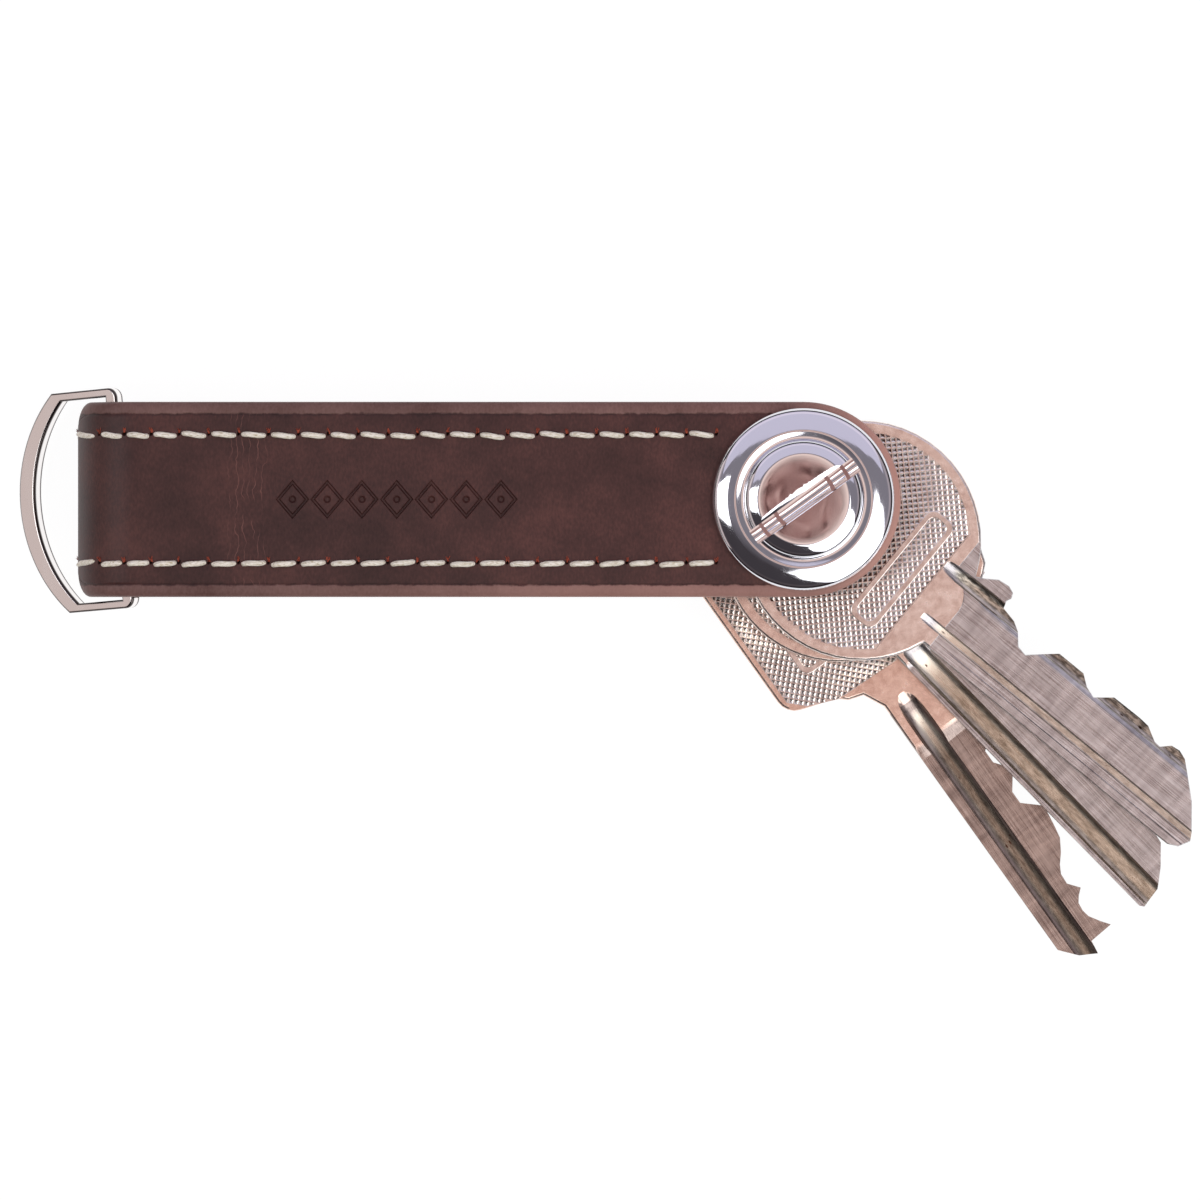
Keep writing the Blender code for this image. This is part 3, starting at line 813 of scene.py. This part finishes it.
# %% Turn the head and cut its slot
head_height_mm = 2.75
head_height = head_height_mm * mm
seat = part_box("coin_screw")[1].z - head_height
slot_angle = math.radians(35.6)
slot_half = 1.1 * mm
slot_floor = 1.25 * mm
slot_reach = 6.7 * mm
slot_streaks = 11
streak_height_mm = 0.085
wide_flare = 0.5 * mm
thin_flare = 0.16 * mm
flare_depth = 0.24 * mm
flare_over = 0.22 * mm
sink_rings_mm = ((3.1, 3.55), (5.1, 5.5))
sink_depth = 0.4 * mm
boss_line = [
    (0, head_height_mm), (2, 2.744), (3, 2.732), (4, 2.706), (4.6, 2.678), (4.85, 2.655), (5, 2.625),
    (5.15, 2.573), (5.5, 2.44), (5.8, 2.3), (6.05, 2.12), (6.2, 1.93), (6.28, 1.72), (6.32, 1.53),
    (6.37, 1.41), (6.44, 1.37), (6.55, 1.372), (6.7, 1.39), (6.85, 1.415), (7, 1.442), (7.13, 1.466),
    (7.22, 1.48), (7.3, 1.484), (7.4, 1.474), (7.6, 1.438), (7.9, 1.378), (8.2, 1.308), (8.7, 1.164),
    (9.1, 0.996), (9.4, 0.808), (9.6, 0.59), (9.69, 0.39), (9.7, 0.2), (9.65, 0.06), (9.5, 0),
]
shank_line = [(2.02, 0), (2.02, -13.4), (1.6, -13.8), (0, -13.8)]


def slot_tool():
    """A bar along the slot: a streaky floor, a wide chamfer on one edge and a thin one on the other."""
    tools = bmesh.new()
    inner = slot_half - wide_flare
    over = head_height + flare_over
    floor_line = [
        (-slot_half + (inner + slot_half) * step / slot_streaks,
         slot_floor + random.uniform(0, streak_height_mm) * mm)
        for step in range(slot_streaks + 1)
    ]
    section = [
        *floor_line, (inner, head_height - flare_depth), (slot_half + wide_flare, over),
        (-slot_half - thin_flare, over), (-slot_half, head_height - thin_flare),
    ]
    face = tools.faces.new([tools.verts.new((-slot_reach, y, z)) for y, z in section])
    far = only(bmesh.types.BMVert, bmesh.ops.extrude_face_region(tools, geom=[face]))
    move(tools, 2 * slot_reach, verts=far)
    face_outward(tools)
    return tools


head = carve(turned(in_mm([*flow(boss_line), *shank_line])), slot_tool())
for inner, outer in in_mm(sink_rings_mm):
    sink = plate([circle(outer, 64), circle(inner, 64, -1)], slot_floor - sink_depth, 2 * sink_depth)
    head = carve(head, sink)
bmesh.ops.rotate(head, verts=head.verts, cent=(0, 0, 0), matrix=Matrix.Rotation(slot_angle, 3, "Z"))
move(head, z=seat)
show("coin_screw_head", head, "screw", [screw_chrome], ["coin_screw"], sharp=40)

# %% Turn the back nut
barrel_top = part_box("back_nut")[1].z / mm
nut_line = [
    (0, 1.2), (2.1, 1.2), (2.1, barrel_top), (2.75, barrel_top), (2.75, 2.0), (9.1, 2.0), (9.4, 1.95),
    (9.6, 1.8), (9.7, 1.55), (9.7, 0.5), (9.62, 0.22), (9.45, 0.06), (9.2, 0), (8.6, 0), (0, 0),
]
nut = turned(in_mm(nut_line))
show("back_nut_disc", nut, "strap", [screw_chrome], ["back_nut"], sharp=30)

# %% [markdown]
# ## The ring
# The ring was stamped from plate and plated, so its faces are flat, its walls are square to them and
# its edges are only just broken. A bent wire would be round. It is drawn flat as an outline with a
# window, made solid, and then turned into its place: it hangs from the fold and rests on the table.
# Its faces and the middle of its walls are bright; the broken edges, with the wall beside them, are
# painted dark grey, a painted shade that outlines the ring.

# %% Draw the ring and lay it in the fold
ring_thickness = 1.5 * mm
ring_edge = 0.24 * mm
bar_half = 0.7 * mm
bar_drop = 1.2 * mm
arm_width = 0.95 * mm
side_play = 0.5 * mm
arm_reach = 7.7 * mm
bow_rise = 5.3 * mm
bow_width = 2 * mm
bow_end_width = 1.25 * mm
outer_corner = 1.1 * mm
ring_axis = (-72.9064 * mm, 0.25 * mm, fold_level - bar_drop)
ring_tilt = Matrix.Rotation(math.radians(4.8), 4, "Z")
ring_droop = Matrix.Rotation(math.radians(-31.489), 4, "Y")
ring_place = Matrix.Translation(ring_axis) @ ring_tilt @ ring_droop


def bow(side, rise, back):
    """The ring's bow as an arc over both its sides, its crown this far back from the bar."""
    radius = (side**2 + rise**2) / (2 * rise)
    spread = math.asin(side / radius)
    return arc((radius - back, 0), radius, math.pi - spread, math.pi + spread, 72)


def ring_outlines():
    """The ring's outline and its window, flat, with the bar's axis at the origin."""
    inner_side = half_width + side_play
    side = inner_side + arm_width
    corner = (bar_half - outer_corner, side - outer_corner)
    reach = arm_reach + bow_rise
    outline = [
        *arc((corner[0], -corner[1]), outer_corner, -math.pi / 2, 0, 10),
        *arc(corner, outer_corner, 0, math.pi / 2, 10),
        *bow(side, bow_rise, reach),
    ]
    window = [
        (-bar_half, -inner_side), (-bar_half, inner_side),
        *bow(inner_side, bow_rise - bow_width + bow_end_width, reach - bow_width),
    ]
    return [outline, window[::-1]]


def chrome_with_painted_edge_shade():
    """Chrome over a stamped plate: bright faces and wall middles, and painted shade on the broken edges
    and the wall beside them.
    """
    look, shader, node, place = bright_chrome("polished_ring_plate", "#f2ecea", 0.09)
    laid = node("Mapping", place, ring_axis, ring_place.to_euler(), vector_type="TEXTURE")
    level = node("SeparateXYZ", laid).outputs["Z"]
    away = node("Math", level, operation="ABSOLUTE")
    share = node("Math", away, ring_thickness / 2, operation="DIVIDE")
    # Painted shade: the broken edges and the band of wall next to them are painted dark grey.
    feed(shader, Base_Color=node("ValToRGB", share, stops=[
        (0.38, "#fbf8f7"), (0.6, "#57504f"), (0.972, "#57504f"), (0.995, "#f4efed"),
    ]))
    return look


ring = plate(ring_outlines(), -ring_thickness / 2, ring_thickness, ring_edge, 4)
bmesh.ops.transform(ring, verts=ring.verts, matrix=ring_place)
show("d_ring_plate", ring, "ring", [chrome_with_painted_edge_shade()], ["d_ring"], weighted=True)

# %% [markdown]
# ## Key metal
# These keys are milled from nickel-plated brass. The coined bow keeps a smooth satin skin. The
# blade is brushed along its length by the lock, with darker rub marks across it. Deep in the
# grooves the plating is gone and the brass has browned. The stain follows how deep a point lies
# under the key's two faces, so each key's material knows the height of its middle.

# %% Nickel with worn brass in its grooves
key_half = 1.05 * mm


def depth_under_face(node, split, middle):
    """How deep a point lies under the nearer of the key's two faces."""
    level = node("Math", split.outputs["Z"], middle, operation="SUBTRACT")
    away = node("Math", level, operation="ABSOLUTE")
    return node("Math", key_half, away, operation="SUBTRACT")


def browned_brass_and_painted_shade(node, place, rubs, split, tones, groove_start):
    """Grooves: bright where the cutter ran in, then brown-grey brass with blotches and a few pits.
    Past the ridge, the thin edge gets speckled painted shade.
    """
    blotch = node("TexNoise", place, Scale=per_mm(0.4), Detail=5, Roughness=0.7)
    brass = node("ValToRGB", blotch, stops=[(0.32, tones[0]), (0.7, tones[1])])
    pits = node("TexVoronoi", place, Scale=per_mm(0.5), Randomness=1)
    dots = node("MapRange", pits, 0.22, 0.1)
    cluster = node("MapRange", rubs, 0.54, 0.6)
    pitted = node("Math", dots, cluster, operation="MULTIPLY")
    browned = node("MapRange", split.outputs["X"], groove_start + 2.5 * mm, groove_start + 8 * mm)
    aged = node("Mix", browned, "#f6eddd", brass, data_type="RGBA")
    tone = node("Mix", pitted, aged, "#4c2c1c", data_type="RGBA")
    # Painted shade: past the ridge, on the thin edge, the brass is darkened in speckles.
    speck = node("TexNoise", place, Scale=per_mm(0.3), Detail=2)
    speckled_painted_shade = node("MapRange", speck, 0.4, 0.6, 0.22, 0.75)
    thin_edge = node("MapRange", split.outputs["Y"], 3.5 * mm, 4.2 * mm)
    shade = node("Mix", thin_edge, 1, speckled_painted_shade)
    return node("VectorMath", tone, shade, operation="MULTIPLY"), blotch


def key_metal(name, key, middle):
    """Nickel-plated brass: satin bow, brushed blade, brown grooves."""
    look, shader, node, place = new_look(name, Metallic=1)
    blade_start, _, milled_depth = in_mm(key["milled"][:3])
    lie = node("Mapping", place, Rotation=(0, 0, -math.radians(key["turn"])))
    split = node("SeparateXYZ", lie)
    along = node("Mapping", lie, Scale=(0.02, 1, 1))
    brushed = node("TexNoise", along, Scale=per_mm(0.1), Detail=3)
    across = node("Mapping", lie, Scale=(1, 0.16, 1))
    rubs = node("TexNoise", across, Scale=per_mm(1.1), Detail=5, Roughness=0.65)
    skin = node("TexNoise", place, Scale=per_mm(0.9), Detail=5, Roughness=0.6)
    depth = depth_under_face(node, split, middle)
    past = node("MapRange", split.outputs["X"], blade_start - 4.3 * mm, blade_start - 4.2 * mm)
    low = node("MapRange", depth, 0.03 * mm, 0.1 * mm)
    blade = node("Math", past, low, operation="MULTIPLY")
    mottled = node("Mapping", lie, Scale=(0.3, 1, 1))
    groove_start = key["grooves"][1][0][3] * mm
    brass, blotch = browned_brass_and_painted_shade(node, mottled, rubs, split, key["brass"], groove_start)
    uneven = node("MapRange", blotch, 0, 1, -0.1 * mm, 0.1 * mm)
    stained_depth = node("Math", depth, uneven)
    stain = node("MapRange", stained_depth, milled_depth + 0.14 * mm, milled_depth + 0.3 * mm)
    worn = node("Mix", 0.5, rubs, brushed)
    bare = node("ValToRGB", worn, stops=[(0.38, key["blade"][0]), (0.64, key["blade"][1])])
    coined = node("ValToRGB", skin, stops=[(0.3, key["skin"][0]), (0.7, key["skin"][1])])
    plated = node("Mix", blade, coined, bare, data_type="RGBA")
    tone = node("Mix", stain, plated, brass, data_type="RGBA")
    satin = node("MapRange", skin, 0, 1, 0.18, 0.32)
    milled = node("MapRange", brushed, 0, 1, 0.18, 0.4)
    rough = node("Mix", blade, satin, milled)
    faint = node("Math", skin, 0.5, operation="MULTIPLY")
    lines = node("Mix", blade, faint, brushed)
    bump = node("Bump", Height=lines, Strength=0.25, Distance=0.015 * mm)
    feed(shader, Base_Color=tone, Roughness=rough, Normal=bump)
    return look


def knurled_nickel(name, middle):
    """The coined net: bright on its ridges, with old dirt in the pits."""
    look, shader, node, place = new_look(name, Metallic=1)
    skin = node("TexNoise", place, Scale=per_mm(0.9), Detail=4)
    bright = node("ValToRGB", skin, stops=[(0.3, "#e4dad4"), (0.7, "#fbf5f1")])
    depth = depth_under_face(node, node("SeparateXYZ", place), middle)
    dirt = node("MapRange", depth, 0.07 * mm, 0.15 * mm, 0, 0.8)
    tone = node("Mix", dirt, bright, "#66584e", data_type="RGBA")
    rough = node("MapRange", skin, 0, 1, 0.16, 0.3)
    feed(shader, Base_Color=tone, Roughness=rough)
    return look


# %% [markdown]
# ## The keys
# Each key's outline is read from its own solid: a merged copy is cut at half its thickness, and the
# line that is left is drawn again as a plate with rounded edges. The grooves are cut as a milling
# cutter leaves them, with a run-in that climbs out along the cutter's radius. The coined fields are
# sunk a little and carry real knurling, a net of ridges with a pit in every mesh, which catches the
# light as a bump map would not. The net is drawn a little coarser than the real one.

# %% What each key is
field_rim = 1.1 * mm
field_sink = 0.16 * mm


def round_field(x, y, radius, neck_degrees):
    """A round bow's sunk field, drawn in from the bow's edge by the rim and open at the neck."""
    neck = math.radians(neck_degrees)
    return arc((x * mm, y * mm), radius * mm - field_rim, neck, math.tau - neck, 72)


# Sizes in millimetres, the turn in degrees. Milled face: start along, ramp, depth, and the rounded
# corner's radius and place across. Tablet: its middle, width and height. Grooves on the front (1) and
# rear (-1): middle across, width, depth, start along, and the section's form, where 2 is a V and less
# than 1 is squarer. Skin, blade and brass: the darkest and lightest tone.
keys = {
    "front_key": {
        "turn": -39.4, "reach": 55.2, "milled": (20.4, 0.1, 0.13, 3, 1.2),
        "grooves": {
            1: [
                (-1.4, 1, 0.5, 17.9, 0.4), (4.35, 1.7, 0.62, 16.2, 0.8), (4, 3, 0.42, 20, 2),
                (-2.75, 0.3, 0.2, 21, 2),
            ],
            -1: [(0.9, 1.7, 0.8, 20, 0.8)],
        },
        "tablet": (12.9, 1, 3.4, 14.4), "field": round_field(7.6, 0.6, 12.85, 43),
        "skin": ("#ecdcd4", "#fff3ec"), "blade": ("#a29d9f", "#dedbdd"),
        "brass": ("#a0958a", "#e8dfd3"),
    },
    "middle_key": {
        "turn": -45.7, "reach": 56.8, "milled": (20.2, 1, 0.2, 0, 0),
        "grooves": {
            1: [(-2.7, 2.6, 0.75, 18.9, 0.7), (-4.2, 0.3, 0.25, 21, 2)],
            -1: [(1.3, 1.7, 0.8, 20, 0.8)],
        },
        "tablet": (12.6, -0.7, 3.4, 12), "field": round_field(6.2, -0.7, 12.45, 41),
        "skin": ("#e8d4ca", "#fbe8de"), "blade": ("#a29d9e", "#dad6d7"),
        "brass": ("#8f8272", "#dccfbd"),
    },
    "angular_key": {
        "turn": -54.5, "reach": 58.1, "milled": (28.5, 1.8, 0.34, 0, 0),
        "grooves": {1: [(-3.35, 2.5, 0.75, 23.3, 0.95)], -1: [(0.6, 1.7, 0.8, 22, 0.8)]},
        "tablet": (12, -1.25, 7.4, 19),
        "field": in_mm([
            (20, -1.25), (19.8, 6.6), (17.8, 11.55), (1.25, 11.6), (-5.85, 6.65), (-5.85, -9.15),
            (1.25, -14.1), (17.8, -14.05), (19.8, -9.1),
        ]),
        "skin": ("#eed2c4", "#ffe6d8"), "blade": ("#8a7c77", "#c4b3ab"),
        "brass": ("#675b50", "#a89b8c"),
    },
}


# %% Read a key's outline from its solid
def area(loop):
    """Signed area of a closed outline."""
    return sum(a[0] * b[1] - b[0] * a[1] for a, b in around(loop)) / 2


def wound(loop, way):
    """A closed outline run anticlockwise, or clockwise where the way is -1."""
    return loop if area(loop) * way > 0 else loop[::-1]


def outline_of(name, turn):
    """The outline and the hole of a key laid along +X, and the height of its middle."""
    low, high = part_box(name)
    middle = (low.z + high.z) / 2
    shape = bmesh.new()
    shape.from_mesh(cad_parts[name].data)
    bmesh.ops.remove_doubles(shape, verts=shape.verts, dist=merge)
    cut_off(shape, (0, 0, middle), (0, 0, 1), 0.1 * merge, near=True)
    bmesh.ops.rotate(shape, verts=shape.verts, cent=(0, 0, 0), matrix=Matrix.Rotation(-turn, 3, "Z"))
    bmesh.ops.dissolve_limit(shape, angle_limit=math.radians(0.5), verts=shape.verts, edges=shape.edges)
    loops = []
    left = list(shape.verts)
    while left:
        loop = [left.pop(0)]
        while ahead := [e.other_vert(loop[-1]) for e in loop[-1].link_edges]:
            ahead = [vert for vert in ahead if vert in left]
            if not ahead:
                break
            left.remove(ahead[0])
            loop.append(ahead[0])
        loops.append([(v.co.x, v.co.y) for v in loop])
    loops.sort(key=lambda loop: abs(area(loop)))
    return [wound(loops[-1], 1), wound(loops[0], -1)], middle


# %% Cutters for the grooves and the milled face
cutter_radius = 20 * mm
past_tip = 3 * mm
run_in_steps = 12
# The run-in starts this share of its length before the groove, and this share higher than its depth
run_in_lead = 0.12
run_in_lift = 1.06
mill_half = 9 * mm
mill_over = 0.1 * mm


def groove_tool(groove, reach):
    """A milled groove: its section moves out along the cutter's arc, then straight past the tip."""
    middle, width, depth, start = in_mm(groove[:4])
    squareness = groove[4]
    tools = bmesh.new()
    bmesh.ops.create_circle(tools, cap_ends=True, segments=28, radius=1)
    for vert in tools.verts:
        x, y = vert.co.x, vert.co.y
        across = math.copysign(abs(x) ** squareness, x) * width / 2
        vert.co = (0, across, math.copysign(abs(y) ** squareness, y) * depth)
    section = tools.faces[:][0]
    run_in = math.sqrt(2 * cutter_radius * depth)
    shares = [step / run_in_steps for step in range(run_in_steps + 1)]
    stations = [
        (start + run_in * (share - run_in_lead), depth * (run_in_lift - share) ** 2) for share in shares
    ]
    here = (0.0, 0.0)
    for number, (x, lift) in enumerate([*stations, (reach + past_tip, 0)]):
        if number:
            section = draw_out(tools, section)
        move(tools, x - here[0], z=lift - here[1], verts=section.verts)
        here = (x, lift)
    move(tools, y=middle, z=key_half)
    face_outward(tools)
    return tools


def milled_tool(sizes, reach):
    """What the milling cutter takes off the blade's front: a low face with a ramp where it starts."""
    start, ramp, depth, corner, corner_y = in_mm(sizes)
    far = reach + past_tip
    outline = [(start, -mill_half), (start, mill_half), (far, mill_half), (far, -mill_half)]
    if corner:
        bend = arc((start - corner, corner_y), corner, 0, math.pi / 2, 16)
        outline[1:2] = [*bend, (start - corner, mill_half)]
    tool = plate([outline], key_half - depth, depth + mill_over)
    for vert in tool.verts:
        if vert.co.x < far - 1 * mm:
            vert.co.x += ramp if vert.co.z < key_half else -ramp * mill_over / depth
    return tool


# %% The raised frame and the knurled net
frame_border = 0.6 * mm
frame_corner = 1.1 * mm
frame_bury = 0.05 * mm
frame_edge = 0.06 * mm
knurl_pitch = 0.56 * mm
knurl_height = 0.12 * mm
net_bury = 0.01 * mm
net_line = 0.065 * mm
pit_depth = 0.115 * mm
net_cells = 60
net_centre_x = 7 * mm
net_margin = 0.08 * mm
net_hole = 4.2 * mm


def raised_frame(x, y, wide, tall):
    """A rounded frame that stands in the field and ends level with the bow's face."""
    lines = []
    for inset in (0, frame_border):
        radius = frame_corner - 0.6 * inset
        line = []
        for quarter_turn, (sx, sy) in enumerate(((1, 1), (-1, 1), (-1, -1), (1, -1))):
            corner = (x + sx * (wide / 2 - inset - radius), y + sy * (tall / 2 - inset - radius))
            line += arc(corner, radius, quarter_turn * math.pi / 2, (quarter_turn + 1) * math.pi / 2, 6)
        lines.append(line)
    bottom = key_half - field_sink - frame_bury
    return plate([lines[0], lines[1][::-1]], bottom, field_sink + frame_bury, frame_edge)


def knurling(outline):
    """A net of crossing ridges with a small square pit in every mesh, cut off along its field."""
    shape = bmesh.new()
    lie = Matrix.Translation((net_centre_x, 0, key_half - field_sink - net_bury))
    bmesh.ops.create_grid(
        shape, x_segments=net_cells, y_segments=net_cells, size=net_cells * knurl_pitch / 2,
        matrix=lie @ Matrix.Rotation(math.pi / 4, 4, "Z"),
    )
    for start, end in around(outline):
        outward = Vector((end[1] - start[1], start[0] - end[0], 0)).normalized()
        cut_off(shape, Vector((*start, 0)) - outward * net_margin, outward)
    outside = [face for face in shape.faces if face.calc_center_median().xy.length < net_hole]
    # Two meshes that touch only at a corner would leave the wall open there, so one of them goes too
    while outside:
        bmesh.ops.delete(shape, geom=outside, context="FACES")
        corners = [v for v in shape.verts if len(v.link_edges) == 4 and len(v.link_faces) == 2]
        outside = list(dict.fromkeys(v.link_faces[0] for v in corners))
    drawn = bmesh.ops.extrude_face_region(shape, geom=shape.faces[:], use_keep_orig=True)
    move(shape, z=knurl_height, verts=only(bmesh.types.BMVert, drawn))
    top = only(bmesh.types.BMFace, drawn)
    whole = [face for face in top if face.calc_area() > 0.5 * knurl_pitch**2]
    bmesh.ops.inset_individual(shape, faces=whole, thickness=net_line)
    bmesh.ops.poke(shape, faces=whole, offset=-pit_depth)
    face_outward(shape)
    return shape


# %% Mill the three keys
key_edge = 0.34 * mm
land_radius = 3.6 * mm
cut_over = 1 * mm
land = circle(land_radius, 48, -1)

for name, key in keys.items():
    turn = math.radians(key["turn"])
    reach = key["reach"] * mm
    outlines, middle = outline_of(name, turn)
    blank = plate(outlines, -key_half, 2 * key_half, key_edge, 4)
    field = wound(key["field"], 1)
    for side, grooves in key["grooves"].items():
        sunk = plate([field, land], key_half - field_sink, cut_over)
        milled = milled_tool(key["milled"], reach)
        for cut in [sunk, milled, *(groove_tool(groove, reach) for groove in grooves)]:
            if side < 0:
                turn_over(cut)
            blank = carve(blank, cut)
    place = Matrix.Translation((0, 0, middle)) @ Matrix.Rotation(turn, 4, "Z")
    bmesh.ops.transform(blank, verts=blank.verts, matrix=place)
    look = key_metal(name + "_nickel", key, middle)
    show(name + "_blank", blank, name, [look], [name], sharp=32, weighted=True)
    coined = bmesh.new()
    net = knurling(field)
    join(coined, raised_frame(*in_mm(key["tablet"])), place)
    join(coined, net, place)
    turn_over(net)
    join(coined, net, place)
    net_look = knurled_nickel(name + "_coined_net", middle)
    show(name + "_knurling", coined, name, [net_look], sharp=15)

# %% [markdown]
# ## Washers
# Two nylon washers keep the keys off the leather. Their solids are right as they are, so they only
# get their finish: cloudy white nylon with a soft moulded gloss.


# %% Moulded nylon
def moulded_nylon():
    """Natural nylon: milky, with a faint mottled surface."""
    depth = {"Subsurface_Weight": 0.15, "Subsurface_Scale": 1 * mm}
    look, shader, node, place = new_look("moulded_nylon", **depth)
    mottle = node("TexNoise", place, Scale=per_mm(0.8), Detail=3)
    tone = node("ValToRGB", mottle, stops=[(0.3, "#cfccc2"), (0.7, "#e6e4dc")])
    feed(shader, Base_Color=tone, Roughness=node("MapRange", mottle, 0, 1, 0.32, 0.5))
    return look


nylon = moulded_nylon()
for name in ("front_washer", "rear_washer"):
    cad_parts[name].data.materials.clear()
    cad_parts[name].data.materials.append(nylon)
    print(name, "keeps its solid")

# %% [markdown]
# ## The studio
# The floor is white and stays white in the picture, because its material glows for the camera and
# for reflections, and takes the rest of its light as a plain white surface, so the object's soft
# shadow stays. The world is a dim room, pinkish overhead where the camera stands. Three soft boxes
# and a low reflector light the object, and they are also what the chrome shows: a large box at the
# lower right, a narrow one at the left and a broad pale one above.

# %% Floor
floor_size = 3
floor_drop = 0.05 * mm
glow_share = 0.85
shape = bmesh.new()
bmesh.ops.create_grid(shape, x_segments=1, y_segments=1, size=floor_size)
move(shape, z=-floor_drop)
floor = put_in_scene("floor", mesh_of("floor", shape))
white_paper = (0.9, 0.9, 0.9, 1)
paper, shader, node, _ = new_look("white_paper_sweep", Base_Color=white_paper, Roughness=0.9)
rays = node("LightPath").outputs
mirrored = node("Math", rays["Is Glossy Ray"], rays["Is Transmission Ray"], operation="MAXIMUM")
seen = node("Math", rays["Is Camera Ray"], mirrored, operation="MAXIMUM")
share = node("Math", seen, glow_share, operation="MULTIPLY")
glow = node("Emission", "#ffffff", 1.1)
blend = node("MixShader", share, shader, glow)
feed(paper.node_tree.nodes["Material Output"], blend)
floor.data.materials.append(paper)

# %% Room
dark_azimuth = math.radians(243)
dark_way = (math.cos(dark_azimuth), math.sin(dark_azimuth), 0)
room = bpy.data.worlds.new("studio")
bpy.context.scene.world = room
room.use_nodes = True
room.node_tree.nodes.clear()
node = functools.partial(add_node, room.node_tree)
direction = node("TexCoord").outputs["Generated"]
flat_way = node("Mapping", direction, Scale=(1, 1, 0))
off_zenith = node("VectorMath", flat_way, operation="LENGTH")
swirl = node("TexNoise", direction, Scale=24, Detail=2, Distortion=1.6)
overhead = node("ValToRGB", swirl, stops=[
    (0.4, "#3a2322"), (0.48, "#8e625c"), (0.56, "#b78a82"), (0.7, "#e6c4b8"),
])
around_it = node("ValToRGB", off_zenith, stops=[
    (0, "#ffe8dc"), (0.21, "#ffe2d6"), (0.3, "#868188"), (0.8, "#87828a"),
    (0.86, "#b9adb0"), (0.92, "#9a9094"), (0.96, "#2e2a2c"), (1, "#2e2a2c"),
])
close = node("MapRange", off_zenith, 0.16, 0.07)
walls = node("Mix", close, around_it, overhead, data_type="RGBA")
dark_side = node("VectorMath", flat_way, dark_way, operation="DOT_PRODUCT")
shade = node("MapRange", dark_side, 0.22, 0.4, 0, 0.85)
dimmed = node("Mix", shade, walls, "#2a2426", data_type="RGBA")
dim = node("Background", dimmed, 1)
white = node("Background", "#ffffff", 1)
room_rays = node("LightPath").outputs
node("OutputWorld", node("MixShader", room_rays["Is Camera Ray"], dim, white))
print("Room:", len(room.node_tree.nodes), "nodes")


# %% Soft boxes
def soft_box(name, azimuth, elevation, distance, width, tall, radiance, colour):
    """A rectangular lamp that faces the object, as bright as its radiance says."""
    lamp = bpy.data.lights.new(name, "AREA")
    lamp.shape = "RECTANGLE"
    lamp.size = width
    lamp.size_y = tall
    lamp.color = linear(colour)[:3]
    lamp.energy = radiance * math.pi * width * tall
    box = put_in_scene(name, lamp)
    a, e = math.radians(azimuth), math.radians(elevation)
    away = Vector((math.cos(a) * math.cos(e), math.sin(a) * math.cos(e), math.sin(e)))
    box.location = away * distance
    box.rotation_mode = "QUATERNION"
    box.rotation_quaternion = away.to_track_quat("Z", "Y")
    box.visible_camera = False
    print(name, "gives", round(lamp.energy, 2), "watts")


soft_box("soft_box_right", -46, 45, 0.9, 0.75, 1.04, 2.0, "#ffffff")
soft_box("soft_box_left", 180, 48, 0.9, 0.3, 0.5, 3.0, "#ffffff")
soft_box("soft_box_top", 90, 44, 0.9, 2.0, 0.92, 0.58, "#dedaf0")
soft_box("low_reflector_left", 183, 20, 1.0, 1.1, 0.34, 0.6, "#f4e4df")
